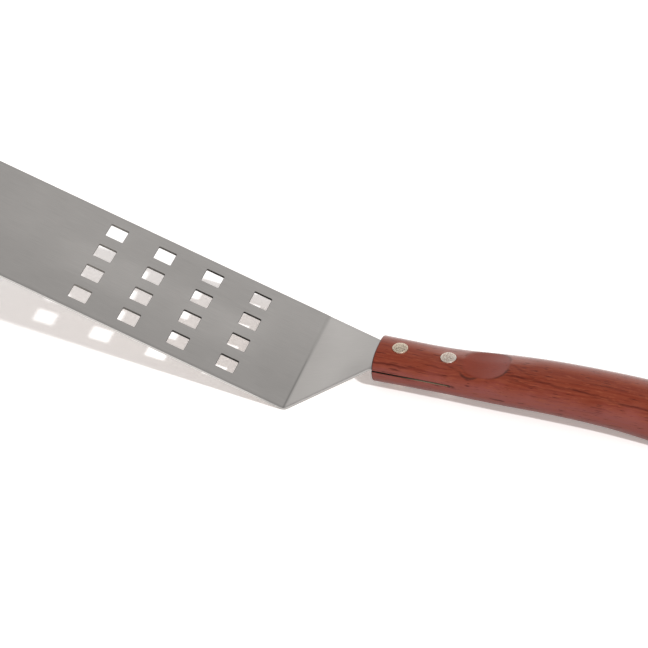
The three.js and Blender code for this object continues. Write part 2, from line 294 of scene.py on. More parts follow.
def closed_tube(name: str, rings: Sequence[np.ndarray], poles: np.ndarray | None = None) -> bpy.types.Object:
    """Makes a closed body from rings of corners, with a fan of faces over each end.

    Args:
        name: the object's name.
        rings: the corners of each ring, one row each.
        poles: the middles of the two fans, or none for the middles of the end rings.

    Returns:
        The new object.
    """
    if poles is None:
        poles = np.array([rings[0].mean(axis=0), rings[-1].mean(axis=0)])
    sides = len(rings[0])
    last = sides * len(rings)
    faces: list[tuple[int, ...]] = []
    for side in range(sides):
        after = (side + 1) % sides
        for here in range(0, last - sides, sides):
            there = here + sides
            faces.append((here + side, there + side, there + after, here + after))
        faces.append((last, side, after))
        faces.append((last + 1, last - sides + after, last - sides + side))
    made = mesh_object(name, np.concatenate((*rings, poles)), faces)
    face_outward(made.data)
    return made


def turned(name: str, profile: Sequence[Span], sides: int) -> bpy.types.Object:
    """Turns a closed body round the Z axis.

    Args:
        name: the object's name.
        profile: radius and height of each point, which starts and ends on the axis.
        sides: how many sides the body has.

    Returns:
        The turned object.
    """
    turn = np.linspace(0, 2 * np.pi, sides, endpoint=False)
    circle = np.stack((np.cos(turn), np.sin(turn), np.zeros(sides)), axis=1)
    first, *middle, last = profile
    rings = [radius * circle + (0, 0, height) for radius, height in middle]
    return closed_tube(name, rings, np.array([(0, 0, first[1]), (0, 0, last[1])]))


def carve(body: bpy.types.Object, cutters: Sequence[bpy.types.Object]) -> None:
    """Cuts each cutter out of a body, and removes the cutters.

    Args:
        body: the object that is cut.
        cutters: closed objects that show what goes.
    """
    for cutter in cutters:
        cut = body.modifiers.new(cutter.name, "BOOLEAN")
        cut.operation = "DIFFERENCE"
        cut.solver = "EXACT"
        cut.object = cutter
    graph = bpy.context.evaluated_depsgraph_get()
    carved = bpy.data.meshes.new_from_object(body.evaluated_get(graph))
    body.modifiers.clear()
    body.data = carved
    for cutter in cutters:
        bpy.data.objects.remove(cutter)


@dataclass(frozen=True)
class RestingPose:
    """How the spatula lies in the row frame: leaning back on its heel and the butt of its handle."""

    lean: float
    origin: np.ndarray

    MOUNT_PLACE: ClassVar[np.ndarray] = np.array((-160.0, 0.0, 0.0))  # in the blade's own frame

    @classmethod
    def from_record(cls, record: dict[str, Any]) -> RestingPose:
        """Reads the pose from the mount on the underside of the blade.

        Args:
            record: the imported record.

        Returns:
            The pose of the blade's own frame.
        """
        mount = next(m for m in record["mounts"] if m["name"] == UNDERSIDE_MOUNT)
        lean = math.atan2(-mount["axis"][0], -mount["axis"][2])
        unplaced = cls(lean, np.zeros(3))
        origin = np.array(mount["pos_m"]) - unplaced.to_row(cls.MOUNT_PLACE[None, :])[0]
        return cls(lean, origin)

    def to_row(self, points: np.ndarray) -> np.ndarray:
        """Carries points from the blade's own frame, in millimetres, to the row frame, in metres."""
        return pitched(points, -self.lean) * MM + self.origin

    def direction_to_row(self, direction: Axes) -> Vector:
        """Carries a direction from the blade's own frame to the row frame."""
        return Vector(pitched(np.array([direction]), -self.lean)[0]).normalized()


# Shader helpers


@dataclass(frozen=True)
class Ramp:
    """A smooth change: the range that a value is read over, and what the ends of that range become."""

    low: float
    high: float
    to_low: float = 0.0
    to_high: float = 1.0


@dataclass(frozen=True)
class Grain:
    """A noise: how much of it lies in a millimetre along each axis, how fine it is and how far it swings."""

    per_mm: Axes
    detail: float = 2.0
    roughness: float = 0.5
    width: float = 1.0


class NodeSheet:
    """Adds nodes to one node tree and joins them."""

    def __init__(self, tree: bpy.types.NodeTree) -> None:
        """Starts on a tree, which is emptied."""
        self.tree = tree
        self.tree.nodes.clear()

    def add(self, kind: str, inputs: dict[Any, Any] | None = None, **settings: Any) -> bpy.types.Node:
        """Adds a node.

        Args:
            kind: the node's type.
            inputs: a value or a socket for each input, by its name or its number.
            settings: the node's own options.

        Returns:
            The new node.
        """
        node = self.tree.nodes.new(kind)
        for name, value in settings.items():
            setattr(node, name, value)
        for key, value in (inputs or {}).items():
            self.feed(node.inputs[key], value)
        return node

    def feed(self, target: Socket, value: Any) -> None:
        """Joins a socket to an input, or sets the input to a value.

        Args:
            target: the input.
            value: a socket or a plain value.
        """
        if isinstance(value, bpy.types.NodeSocket):
            self.tree.links.new(value, target)
        else:
            target.default_value = value

    def maths(self, operation: str, *values: Any) -> Socket:
        """Works on numbers and sockets."""
        return self.add("ShaderNodeMath", dict(enumerate(values)), operation=operation).outputs[0]

    def vector_maths(self, operation: str, first: Socket, second: Axes) -> Socket:
        """Works on a vector, axis by axis."""
        return self.add("ShaderNodeVectorMath", {0: first, 1: second}, operation=operation).outputs[0]

    def total(self, *values: Any) -> Socket:
        """Adds up numbers and sockets."""
        return reduce(partial(self.maths, "ADD"), values)

    def product(self, *values: Any) -> Socket:
        """Multiplies numbers and sockets."""
        return reduce(partial(self.maths, "MULTIPLY"), values)

    def largest(self, *values: Any) -> Socket:
        """Gives the largest of numbers and sockets."""
        return reduce(partial(self.maths, "MAXIMUM"), values)

    def without(self, *masks: Any) -> Socket:
        """Gives what the product of some masks leaves of one."""
        return self.maths("SUBTRACT", 1.0, self.product(*masks))

    def between(self, share: Any, first: Any, second: Any) -> Socket:
        """Gives the number that lies a share of the way from a first one to a second."""
        return self.maths("MULTIPLY_ADD", share, self.maths("SUBTRACT", second, first), first)

    def away(self, value: Any, middle: Any) -> Socket:
        """Tells how far a value lies from another, on either side."""
        return self.maths("ABSOLUTE", self.maths("SUBTRACT", value, middle))

    def reach(self, across: Socket, upward: Socket) -> Socket:
        """Gives the length of a line from its two parts."""
        squared = self.maths("MULTIPLY_ADD", across, across, self.maths("MULTIPLY", upward, upward))
        return self.maths("SQRT", squared)

    def ramp(self, value: Any, ramp: Ramp) -> Socket:
        """Changes a value smoothly.

        Args:
            value: the number or socket to read.
            ramp: the range that it is read over, and what that becomes.

        Returns:
            The socket with the result.
        """
        spread = {"From Min": ramp.low, "From Max": ramp.high, "To Min": ramp.to_low, "To Max": ramp.to_high}
        node = self.add("ShaderNodeMapRange", {"Value": value, **spread}, interpolation_type="SMOOTHSTEP")
        return node.outputs["Result"]

    def ramps(self, *pairs: tuple[Any, Ramp]) -> Socket:
        """Multiplies several smooth changes, each of its own value."""
        return self.product(*(self.ramp(value, ramp) for value, ramp in pairs))

    def blend(self, share: Any, first: Any, second: Any, mode: str = "MIX") -> Socket:
        """Blends a share of a second colour into a first one."""
        inputs = {0: share, MIX_FIRST: first, MIX_SECOND: second}
        return self.add("ShaderNodeMix", inputs, data_type="RGBA", blend_type=mode).outputs[MIX_RESULT]

    def toned(self, colour: Colour | Socket, tone: Socket) -> Socket:
        """Lightens or darkens a colour by a factor that changes over the surface."""
        grey = self.add("ShaderNodeCombineColor", {"Red": tone, "Green": tone, "Blue": tone})
        return self.blend(1.0, colour, grey.outputs["Color"], "MULTIPLY")

    def split(self, vector: Socket) -> tuple[Socket, Socket, Socket]:
        """Takes a vector apart into its three numbers."""
        outputs = self.add("ShaderNodeSeparateXYZ", {"Vector": vector}).outputs
        return outputs["X"], outputs["Y"], outputs["Z"]

    def noise(self, vector: Socket, scale: Any, detail: float, roughness: float) -> Socket:
        """Adds a noise and gives its value socket."""
        inputs = {"Vector": vector, "Scale": scale, "Detail": detail, "Roughness": roughness}
        return self.add("ShaderNodeTexNoise", inputs).outputs["Fac"]

    def bump(self, height: Socket, depth: float, strength: float) -> Socket:
        """Turns a height that changes over the surface into a normal."""
        inputs = {"Height": height, "Distance": depth, "Strength": strength}
        return self.add("ShaderNodeBump", inputs).outputs["Normal"]


class SurfaceEffects:
    """The effects that several finishes share, each a node group that is built once."""

    ALL_LINES: ClassVar[Ramp] = Ramp(0.3, 0.7)
    STRONGEST: ClassVar[Ramp] = Ramp(0.58, 0.7)

    def __init__(self) -> None:
        """Builds the groups."""
        self.mottle = self._mottle()
        self.lines = self._lines()

    @staticmethod
    def _group(name: str, inputs: Sequence[str], outputs: Sequence[str]) -> tuple[NodeSheet, Any, Any]:
        """Starts a node group that works on a place.

        Args:
            name: the group's name.
            inputs: the names of the numbers that it takes besides the place.
            outputs: the names of the numbers that it puts out.

        Returns:
            The group's sheet, what it is given and what it puts out, both by name.
        """
        tree = bpy.data.node_groups.new(name, "ShaderNodeTree")
        tree.interface.new_socket("Vector", in_out="INPUT", socket_type="NodeSocketVector")
        for way, labels in (("INPUT", inputs), ("OUTPUT", outputs)):
            for label in labels:
                tree.interface.new_socket(label, in_out=way, socket_type="NodeSocketFloat")
        sheet = NodeSheet(tree)
        return sheet, sheet.add("NodeGroupInput").outputs, sheet.add("NodeGroupOutput").inputs

    def _mottle(self) -> bpy.types.NodeTree:
        """Builds soft blotches of lighter and darker tone, as a factor near one.

        Returns:
            The group.
        """
        sheet, given, out = self._group("soft mottle", ("Per mm", "Depth"), ("Tone",))
        blotch = sheet.noise(given["Vector"], given["Per mm"], detail=3.0, roughness=0.55)
        swing = sheet.product(sheet.maths("SUBTRACT", blotch, 0.5), 2.0)
        sheet.feed(out["Tone"], sheet.maths("MULTIPLY_ADD", swing, given["Depth"], 1.0))
        return sheet.tree

    def _lines(self) -> bpy.types.NodeTree:
        """Builds fine lines that run along the X axis, as brush marks or wood fibres do.

        Returns:
            The group.
        """
        sheet, given, out = self._group("fine lines", ("Per mm", "Length"), ("Lines", "Threads"))
        x, y, z = sheet.split(given["Vector"])
        drawn_out = {"X": sheet.maths("DIVIDE", x, given["Length"]), "Y": y, "Z": z}
        along = sheet.add("ShaderNodeCombineXYZ", drawn_out).outputs["Vector"]
        lines = sheet.noise(along, given["Per mm"], detail=2.0, roughness=0.6)
        sheet.feed(out["Lines"], sheet.ramp(lines, self.ALL_LINES))
        sheet.feed(out["Threads"], sheet.ramp(lines, self.STRONGEST))
        return sheet.tree


class SurfaceSheet(NodeSheet):
    """The nodes of one finish, which know where the shaded point lies in its own piece."""

    def __init__(self, tree: bpy.types.NodeTree, effects: SurfaceEffects) -> None:
        """Starts on a tree, which is emptied, and reads the place.

        Args:
            tree: the material's node tree.
            effects: the shared node groups.
        """
        super().__init__(tree)
        self.effects = effects
        self.place = self.add("ShaderNodeAttribute", attribute_name=PLACE).outputs["Vector"]
        self.x, self.y, self.z = self.split(self.place)

    def stored(self, name: str) -> Socket:
        """Reads a number that is stored at the corners of the mesh."""
        return self.add("ShaderNodeAttribute", attribute_name=name).outputs["Fac"]

    def grain(self, grain: Grain) -> Socket:
        """Draws a noise from 0 to 1."""
        place = self.vector_maths("MULTIPLY", self.place, grain.per_mm)
        return self.noise(place, 1.0, grain.detail, grain.roughness)

    def drift(self, grain: Grain) -> Socket:
        """Draws a noise that swings about zero, over the grain's width."""
        return self.product(self.maths("SUBTRACT", self.grain(grain), 0.5), grain.width)

    def mottle(self, per_mm: float, depth: float) -> Socket:
        """Places the soft mottle."""
        inputs = {"Vector": self.place, "Per mm": per_mm, "Depth": depth}
        return self.add("ShaderNodeGroup", inputs, node_tree=self.effects.mottle).outputs["Tone"]

    def lines(self, per_mm: float, length: float, shift: Axes = (0.0, 0.0, 0.0)) -> tuple[Socket, Socket]:
        """Places the fine lines.

        Args:
            per_mm: how many lie in a millimetre.
            length: how many times longer than wide they are.
            shift: where in their pattern they start.

        Returns:
            The sockets with all the lines and with the strongest threads of them.
        """
        place = self.vector_maths("ADD", self.place, shift)
        inputs = {"Vector": place, "Per mm": per_mm, "Length": length}
        outputs = self.add("ShaderNodeGroup", inputs, node_tree=self.effects.lines).outputs
        return outputs["Lines"], outputs["Threads"]


# Finishes


@dataclass(frozen=True, kw_only=True)
class Finish(ABC):
    """A surface finish, made of nodes alone."""

    name: str

    def make(self, effects: SurfaceEffects) -> bpy.types.Material:
        """Makes the material.

        Args:
            effects: the shared node groups.

        Returns:
            The finished material.
        """
        material = bpy.data.materials.new(self.name)
        material.use_nodes = True
        sheet = SurfaceSheet(material.node_tree, effects)
        surface = sheet.add("ShaderNodeBsdfPrincipled", self.surface(sheet))
        sheet.add("ShaderNodeOutputMaterial", {"Surface": surface.outputs["BSDF"]})
        return material

    @abstractmethod
    def surface(self, sheet: SurfaceSheet) -> dict[str, Any]:
        """Gives a value or a socket for each input of the shader that the finish sets."""


@dataclass(frozen=True)
class PaintedSheenPatch:
    """A soft patch of the blade's face, lightened by painted sheen where its gain is above zero and darkened
    by painted shade where below: its middle and half size, along and across.
    """

    along: Span
    across: Span
    gain: float

    FADE: ClassVar[Span] = (0.5, 1.5)  # shares of the half size between which it fades

    def tone(self, sheet: SurfaceSheet) -> Socket:
        """Gives what the patch adds to the tone.

        Args:
            sheet: the material's nodes.

        Returns:
            The socket with the added tone, 0 away from the patch.
        """
        inner, outer = self.FADE
        masks = []
        for place, (middle, half) in ((sheet.x, self.along), (sheet.y, self.across)):
            fade = Ramp(inner * half, outer * half, 1.0, 0.0)
            masks.append(sheet.ramp(sheet.away(place, middle), fade))
        return sheet.product(*masks, self.gain)


@dataclass(frozen=True, kw_only=True)
class BrushedSteel(Finish):
    """Stainless sheet with a fine satin brush along the blade, painted shade and sheen over its face and a
    line of painted shade in the heel bend.
    """

    name: str = "brushed stainless sheet"
    half_width: float
    neck_taper: float
    colour: Colour = (0.606, 0.579, 0.554, 1.0)
    brush_per_mm: float = 5.0
    brush_length: float = 60.0
    brush_depth: float = 0.006 * MM
    brush_tone: Ramp = Ramp(0.0, 1.0, 0.96, 1.04)
    brush_roughness: Ramp = Ramp(0.0, 1.0, 0.31, 0.39)
    haze_per_mm: float = 0.03
    haze_depth: float = 0.06
    # painted shade: a darker line in the concave heel bend, most on the near side
    heel_shade_at: float = -0.4
    heel_shade: Ramp = Ramp(0.0, 0.9, 1.0, 0.0)
    heel_shade_across: Ramp = Ramp(-14.0, 16.0, 0.30, 0.0)
    # painted shade: the blade's face is drawn darker towards its near side
    painted_shade_across: Ramp = Ramp(-30.0, 10.0, 0.95, 1.04)
    # painted sheen and shade: soft patches that brighten or darken the blade's face
    painted_sheen: tuple[PaintedSheenPatch, ...] = (
        PaintedSheenPatch((-113.0, 24.0), (-3.0, 13.0), 0.085),
        PaintedSheenPatch((-50.0, 20.0), (-3.0, 13.0), 0.075),
        PaintedSheenPatch((-8.0, 14.0), (-8.0, 24.0), -0.065),
        PaintedSheenPatch((-62.0, 26.0), (22.0, 11.0), -0.055),
        PaintedSheenPatch((-185.0, 16.0), (22.0, 14.0), -0.040),
    )
    neck: Ramp = Ramp(-1.5, 1.5)
    # painted shade: the neck is drawn darker by the wood, most on its near side
    neck_shade_along: Ramp = Ramp(15.0, 34.0)
    neck_shade_across: Ramp = Ramp(-13.0, 5.0, 1.0, 0.35)
    neck_shade_depth: float = 0.17
    # painted shade: a dark line along the rim of the sheet
    rim_shade: Ramp = Ramp(0.1, 2.3, 1.0, 0.0)
    rim_shade_across: Ramp = Ramp(-8.0, 8.0, 0.20, 0.05)

    def surface(self, sheet: SurfaceSheet) -> dict[str, Any]:
        """Draws the brush, and tones it with painted shade and sheen over the face, in the heel bend, on the
        neck by the wood and along the rim.

        Args:
            sheet: the material's nodes.

        Returns:
            A value or a socket for each input of the shader.
        """
        brush, _ = sheet.lines(self.brush_per_mm, self.brush_length)
        tone = sheet.product(
            sheet.ramp(brush, self.brush_tone),
            sheet.mottle(self.haze_per_mm, self.haze_depth),
            self._heel_shade(sheet),
            self._painted_sheen_and_shade(sheet),
            self._rim_shade(sheet),
        )
        return {
            "Base Color": sheet.toned(self.colour, tone),
            "Roughness": sheet.ramp(brush, self.brush_roughness),
            "Metallic": 1.0,
            "Normal": sheet.bump(brush, depth=self.brush_depth, strength=0.5),
        }

    def _heel_shade(self, sheet: SurfaceSheet) -> Socket:
        """Paints shade in a line along the heel bend, most on the near side."""
        from_line = sheet.away(sheet.x, self.heel_shade_at)
        return sheet.without(sheet.ramps((from_line, self.heel_shade), (sheet.y, self.heel_shade_across)))

    def _painted_sheen_and_shade(self, sheet: SurfaceSheet) -> Socket:
        """Paints shade and sheen over the blade, and shade on the neck by the wood.

        Args:
            sheet: the material's nodes.

        Returns:
            The socket with the tone, near 1.
        """
        patches = (patch.tone(sheet) for patch in self.painted_sheen)
        painted_light = sheet.total(sheet.ramp(sheet.y, self.painted_shade_across), *patches)
        neck_shade = sheet.ramps((sheet.x, self.neck_shade_along), (sheet.y, self.neck_shade_across))
        return sheet.between(sheet.ramp(sheet.x, self.neck), painted_light, sheet.without(neck_shade, self.neck_shade_depth))

    def _rim_shade(self, sheet: SurfaceSheet) -> Socket:
        """Paints the shade of the rim of the sheet, where the cutting has rolled it over, most on the near
        side.

        Args:
            sheet: the material's nodes.

        Returns:
            The socket with the tone, 1 away from the rim.
        """
        from_side = sheet.maths("SUBTRACT", self.half_width, sheet.maths("ABSOLUTE", sheet.y))
        straight = sheet.product(from_side, math.cos(self.neck_taper))
        from_neck = sheet.maths("MULTIPLY_ADD", sheet.x, -math.sin(self.neck_taper), straight)
        rim = sheet.ramp(sheet.maths("MINIMUM", from_side, from_neck), self.rim_shade)
        return sheet.without(rim, sheet.ramp(sheet.y, self.rim_shade_across))


@dataclass(frozen=True, kw_only=True)
class CutSteel(Finish):
    """An edge of the sheet: toned blotches and small marks from the tool that made it."""

    colour: Colour
    roughness: float
    blotch_per_mm: float
    blotch_depth: float
    mark_depth: float
    painted_light: Ramp  # painted light: the edge is drawn lighter towards the tip
    painted_light_tone: Span

    def surface(self, sheet: SurfaceSheet) -> dict[str, Any]:
        """Draws the blotches, and the painted light towards the tip.

        Args:
            sheet: the material's nodes.

        Returns:
            A value or a socket for each input of the shader.
        """
        marks = sheet.mottle(self.blotch_per_mm, self.blotch_depth)
        painted_light = sheet.ramp(sheet.x, self.painted_light)
        painted_light_factor = sheet.between(sheet.product(painted_light, painted_light), *self.painted_light_tone)
        return {
            "Base Color": sheet.toned(self.colour, sheet.product(marks, painted_light_factor)),
            "Roughness": self.roughness,
            "Metallic": 1.0,
            "Normal": sheet.bump(marks, depth=self.mark_depth, strength=0.6),
        }


GROUND_EDGE = CutSteel(
    name="ground sheet edge",
    colour=(0.420, 0.408, 0.396, 1.0),
    roughness=0.46,
    blotch_per_mm=1.2,
    blotch_depth=0.12,
    mark_depth=0.02 * MM,
    # painted light: the ground edge is drawn lighter away from the neck
    painted_light=Ramp(-2.0, -16.0),
    painted_light_tone=(1.0, 1.32),
)
SHEARED_HOLE = CutSteel(
    name="sheared hole wall",
    # very dark: the rough sheared steel, and in part painted shade of the hole walls
    colour=(0.080, 0.075, 0.070, 1.0),
    roughness=0.60,
    blotch_per_mm=1.6,
    blotch_depth=0.35,
    mark_depth=0.05 * MM,
    # painted light: the hole walls are drawn lighter towards the tip
    painted_light=Ramp(-35.0, -117.0),
    painted_light_tone=(0.6, 2.4),
)


@dataclass(frozen=True)
class HeartLine:
    """A dark line of growth, and where along the handle it shows.

    Its angle round the handle and how that turns per millimetre are in degrees.
    """

    angle: float
    turn: float
    start: float
    end: float
    depth: float = 1.0

    LEAD: ClassVar[float] = 4.0  # half the way over which a line comes in
    LEAD_SHARE: ClassVar[float] = 0.2  # how much of the line's length that is at most
    FADE: ClassVar[float] = 3.0  # how many leads before its end it starts to fade

    def drawn(self, sheet: SurfaceSheet, angle: Socket, reach: Socket, waver: Socket, half: float) -> Socket:
        """Draws the line.

        Args:
            sheet: the material's nodes.
            angle: the angle of the shaded point round the handle.
            reach: how far that point lies from where the angle is measured.
            waver: how far the line strays to the side.
            half: half the width of the line.

        Returns:
            The socket with the line, from 0 to its depth.
        """
        aim = sheet.maths("MULTIPLY_ADD", sheet.x, math.radians(self.turn), math.radians(self.angle))
        off = sheet.maths("MULTIPLY_ADD", sheet.maths("SUBTRACT", angle, aim), reach, waver)
        lead = min(self.LEAD, self.LEAD_SHARE * (self.end - self.start))
        return sheet.ramps(
            (sheet.maths("ABSOLUTE", off), Ramp(0.0, 2 * half, self.depth, 0.0)),
            (sheet.x, Ramp(self.start - lead, self.start + lead)),
            (sheet.x, Ramp(self.end - self.FADE * lead, self.end + lead, 1.0, 0.0)),
        )


@dataclass(frozen=True, kw_only=True)
class RedHardwood(Finish):
    """Oiled red hardwood: growth lines along the grip, fibres, pores and a soft sheen."""

    name: str = "oiled red hardwood"
    scoop_middle: float
    # painted reflection of the floor: the wood is mauve below and orange above
    orange: Colour = (0.190, 0.024, 0.007, 1.0)
    mauve: Colour = (0.284, 0.068, 0.056, 1.0)
    # painted highlight: the far upper side is drawn tan, lighter than the orange
    tan: Colour = (0.262, 0.053, 0.027, 1.0)
    pale: Colour = (0.320, 0.075, 0.032, 1.0)
    line: Colour = (0.085, 0.007, 0.002, 1.0)
    # painted shade along the rims, and the dark dot and seam
    dark: Colour = (0.030, 0.006, 0.004, 1.0)
    # painted highlight: the thumb rest turns paler towards its rear end
    painted_light: Colour = (0.250, 0.047, 0.031, 1.0)
    # painted highlight on the far shoulder by the thumb rest
    painted_highlight: Colour = (0.372, 0.166, 0.136, 1.0)
    # painted shade at the mouth of the saw slot, and paler painted light towards its end
    slot_shade: Colour = (0.016, 0.009, 0.006, 1.0)
    slot_light: Colour = (0.300, 0.250, 0.170, 1.0)
    upper: Ramp = Ramp(0.0, 10.0)
    far: Ramp = Ramp(0.0, 6.0)
    scoop_highlight: Ramp = Ramp(-9.0, 11.0, 0.1, 1.0)  # along, from the middle of the thumb rest: the painted highlight grows towards its rear end
    cloud: Span = (0.06, 6.0)  # blotches per millimetre, and their depth

    # Fibres, pores and flecks: how many lie in a millimetre, and how long they are
    fibre_lines: Span = (1.0, 20.0)
    fibre_share: float = 0.34
    fibre_roughness: Ramp = Ramp(0.0, 1.0, 0.41, 0.51)
    pore_lines: Span = (1.4, 11.0)
    pore_share: float = 0.90
    pore_depth: float = 0.05 * MM
    fleck_lines: Span = (1.5, 10.0)
    fleck_shift: Axes = (37.0, 11.0, 5.0)
    fleck_share: float = 0.70
    plain_scoop: Ramp = Ramp(0.0, 1.0, 1.0, 0.3)
    polish_upward: Ramp = Ramp(-6.0, 4.0, 0.15, 1.0)
    polish_across: Ramp = Ramp(0.0, 6.0, 0.25, 1.0)

    # Growth lines
    growth_share: float = 0.95
    growth_dulls: float = 0.5  # how much of the polish a line takes away
    ring_centre: Span = (5.0, -60.0)  # across and above the tang
    ring_spacing: float = 2.8
    ring_sharpness: float = 6.0
    ring_sway: Grain = Grain((0.012, 0.05, 0.05), width=1.6)
    ring_ripple: Grain = Grain((0.08, 0.25, 0.25), 3.0, width=1.4)
    ring_breaks: Ramp = Ramp(0.5, 0.68, 0.0, 0.6)
    ring_side_on: Ramp = Ramp(6.0, 10.5)
    breaks: Grain = Grain((0.05, 0.3, 0.3), 3.0)
    heart_breaks: Ramp = Ramp(0.34, 0.58, 0.45, 1.0)
    heart_streaks: Ramp = Ramp(0.34, 0.6, 0.35, 1.0)
    streaks: Grain = Grain((0.16, 1.3, 1.3), 2.0, 0.6)
    heart_waver: Grain = Grain((0.045, 0.02, 0.02), 3.0, 0.6, width=5.0)
    heart_half: float = 0.52
    heart_below: float = 2.0  # how far below the tang their angles are measured
    heart_lines: tuple[HeartLine, ...] = (
        HeartLine(34.5, 0.0, -9.0, 45.0),
        HeartLine(151.7, -2.4, 37.0, 50.0, 0.75),
        HeartLine(270.6, -2.6, 69.0, 84.0, 0.5),
        HeartLine(82.0, -0.33, 70.0, 165.0),
        HeartLine(70.5, 0.0, 109.0, 131.0, 0.8),
        HeartLine(150.0, -0.12, -9.0, 96.0),
        HeartLine(141.0, 0.08, 74.0, 165.0),
        HeartLine(-62.0, -0.05, 18.0, 140.0, 0.7),
        HeartLine(-128.0, 0.06, -9.0, 165.0, 0.7),
    )

    # The far shoulder by the thumb rest: a painted highlight
    highlight_from: Ramp = Ramp(20.0, 34.0, 0.1, 0.8)
    highlight_to: Ramp = Ramp(70.0, 84.0, 1.0, 0.0)
    highlight_across: Ramp = Ramp(0.2, 3.6)
    highlight_patches: Grain = Grain((0.15, 0.5, 0.5))
    highlight_patchy: Ramp = Ramp(0.35, 0.6, 0.6, 1.0)

    # Painted shade along the rims, dark marks, and how the shade lies along the rim from the middle of the
    # thumb rest
    rim_ends: Ramp = Ramp(1.0, 8.0, 0.05, 0.75)
    rim_front: Ramp = Ramp(-5.0, 2.0, 0.25, 1.0)
    rim_near: Ramp = Ramp(-6.0, -0.5, 1.0, 0.12)
    rim_far: Ramp = Ramp(1.0, 5.0, 0.0, 0.5)
    rim_patches: Grain = Grain((0.2, 0.2, 0.2))
    rim_patchy: Ramp = Ramp(0.35, 0.6, 0.55, 1.0)
    # painted shade along the front rim of the wood, where it meets the steel
    front_rim_shade: Ramp = Ramp(0.25, 1.0, 0.80, 0.0)
    seam_low: Span = (48.7, 5.3)  # where the dark seam is lowest, along and above the tang
    seam_sag: float = 0.04
    seam_line: Ramp = Ramp(0.05, 0.6, 0.7, 0.0)
    seam_from: Ramp = Ramp(43.5, 46.0)
    seam_to: Ramp = Ramp(51.5, 56.5, 1.0, 0.0)
    seam_near: Ramp = Ramp(-4.0, -2.0, 1.0, 0.0)
    seam_uncut: Ramp = Ramp(0.0, 0.5, 1.0, 0.0)

    # Saw slot
    slot_half: float = 0.64
    slot_end: float = 40.3
    slot_dot: Ramp = Ramp(0.4, 1.0, 0.85, 0.0)
    slot_shade_to_light: Ramp = Ramp(10.0, 30.0)
    lip_half: float = 12.25  # where the worn lip of the slot ends, at the front of the wood
    lip_spread: float = 0.011  # and how it widens, per millimetre

    def surface(self, sheet: SurfaceSheet) -> dict[str, Any]:
        """Lays the colours of the wood over each other, from its ground to its painted shade and dark marks.

        Args:
            sheet: the material's nodes.

        Returns:
            A value or a socket for each input of the shader.
        """
        scoop = sheet.stored(SCOOP)
        uncut = sheet.without(scoop)
        plain = sheet.ramp(scoop, self.plain_scoop)
        fibres, _ = sheet.lines(*self.fibre_lines)
        _, pores = sheet.lines(*self.pore_lines)
        _, flecks = sheet.lines(*self.fleck_lines, self.fleck_shift)
        growth = self._growth_lines(sheet)
        upper = sheet.ramp(sheet.total(sheet.z, sheet.mottle(*self.cloud)), self.upper)
        scoop_highlight = sheet.ramp(sheet.maths("SUBTRACT", sheet.x, self.scoop_middle), self.scoop_highlight)
        slot_wall = sheet.blend(sheet.ramp(sheet.x, self.slot_shade_to_light), self.slot_shade, self.slot_light)
        # painted reflection of the floor: mauve below, turning orange above
        colour: Colour | Socket = self.mauve
        for share, coat in (
            (upper, self.orange),
            # painted highlight: tan on the far upper side
            (sheet.product(upper, uncut, sheet.ramp(sheet.y, self.far)), self.tan),
            # painted highlight on the far shoulder
            (sheet.product(uncut, self._painted_highlight_mask(sheet)), self.painted_highlight),
            # painted highlight in the thumb rest, strongest at its rear end
            (sheet.product(scoop, scoop_highlight), self.painted_light),
            (sheet.product(fibres, plain, self.fibre_share), self.pale),
            (sheet.product(flecks, plain, self.fleck_share), self.pale),
            (sheet.product(pores, plain, self.pore_share), self.line),
            (sheet.product(growth, plain, self.growth_share), self.line),
            # painted shade along the rims, and dark marks
            (self._painted_shade_and_marks(sheet), self.dark),
            # painted shade and painted light on the walls of the slot
            (self._in_slot(sheet), slot_wall),
        ):
            colour = sheet.blend(share, colour, coat)
        polish = sheet.ramps((sheet.z, self.polish_upward), (sheet.y, self.polish_across))
        height = sheet.maths("SUBTRACT", fibres, pores)
        return {
            "Base Color": colour,
            "Roughness": sheet.ramp(fibres, self.fibre_roughness),
            "IOR": 1.28,
            "Coat Weight": sheet.product(sheet.without(growth, self.growth_dulls), polish),
            "Coat IOR": 1.5,
            "Coat Roughness": 0.26,
            "Sheen Weight": 0.20,
            "Sheen Roughness": 0.40,
            "Sheen Tint": (1.0, 0.90, 0.90, 1.0),
            "Normal": sheet.bump(height, depth=self.pore_depth, strength=0.35),
        }

    def _growth_lines(self, sheet: SurfaceSheet) -> Socket:
        """Draws the lines where each ring of growth ends, faint ones and the dark heart lines.

        Args:
            sheet: the material's nodes.

        Returns:
            The socket with the lines, from 0 to 1.
        """
        breaks = sheet.grain(self.breaks)
        across = sheet.maths("SUBTRACT", sheet.y, self.ring_centre[0])
        above = sheet.maths("SUBTRACT", sheet.z, self.ring_centre[1])
        wander = sheet.total(sheet.drift(self.ring_sway), sheet.drift(self.ring_ripple))
        radius = sheet.total(sheet.reach(across, above), wander)
        ring = sheet.maths("FRACT", sheet.maths("DIVIDE", radius, self.ring_spacing))
        rings = sheet.product(
            sheet.maths("POWER", ring, self.ring_sharpness),
            sheet.ramp(breaks, self.ring_breaks),
            sheet.ramp(sheet.maths("ABSOLUTE", sheet.y), self.ring_side_on),
        )
        raised = sheet.total(sheet.z, self.heart_below)
        angle = sheet.maths("ARCTAN2", raised, sheet.product(sheet.y, -1.0))
        reach = sheet.reach(sheet.y, raised)
        waver = sheet.drift(self.heart_waver)
        hearts = [heart.drawn(sheet, angle, reach, waver, self.heart_half) for heart in self.heart_lines]
        streaked = sheet.ramp(sheet.grain(self.streaks), self.heart_streaks)
        shown = sheet.product(sheet.ramp(breaks, self.heart_breaks), streaked)
        return sheet.largest(rings, sheet.product(sheet.largest(*hearts), shown))

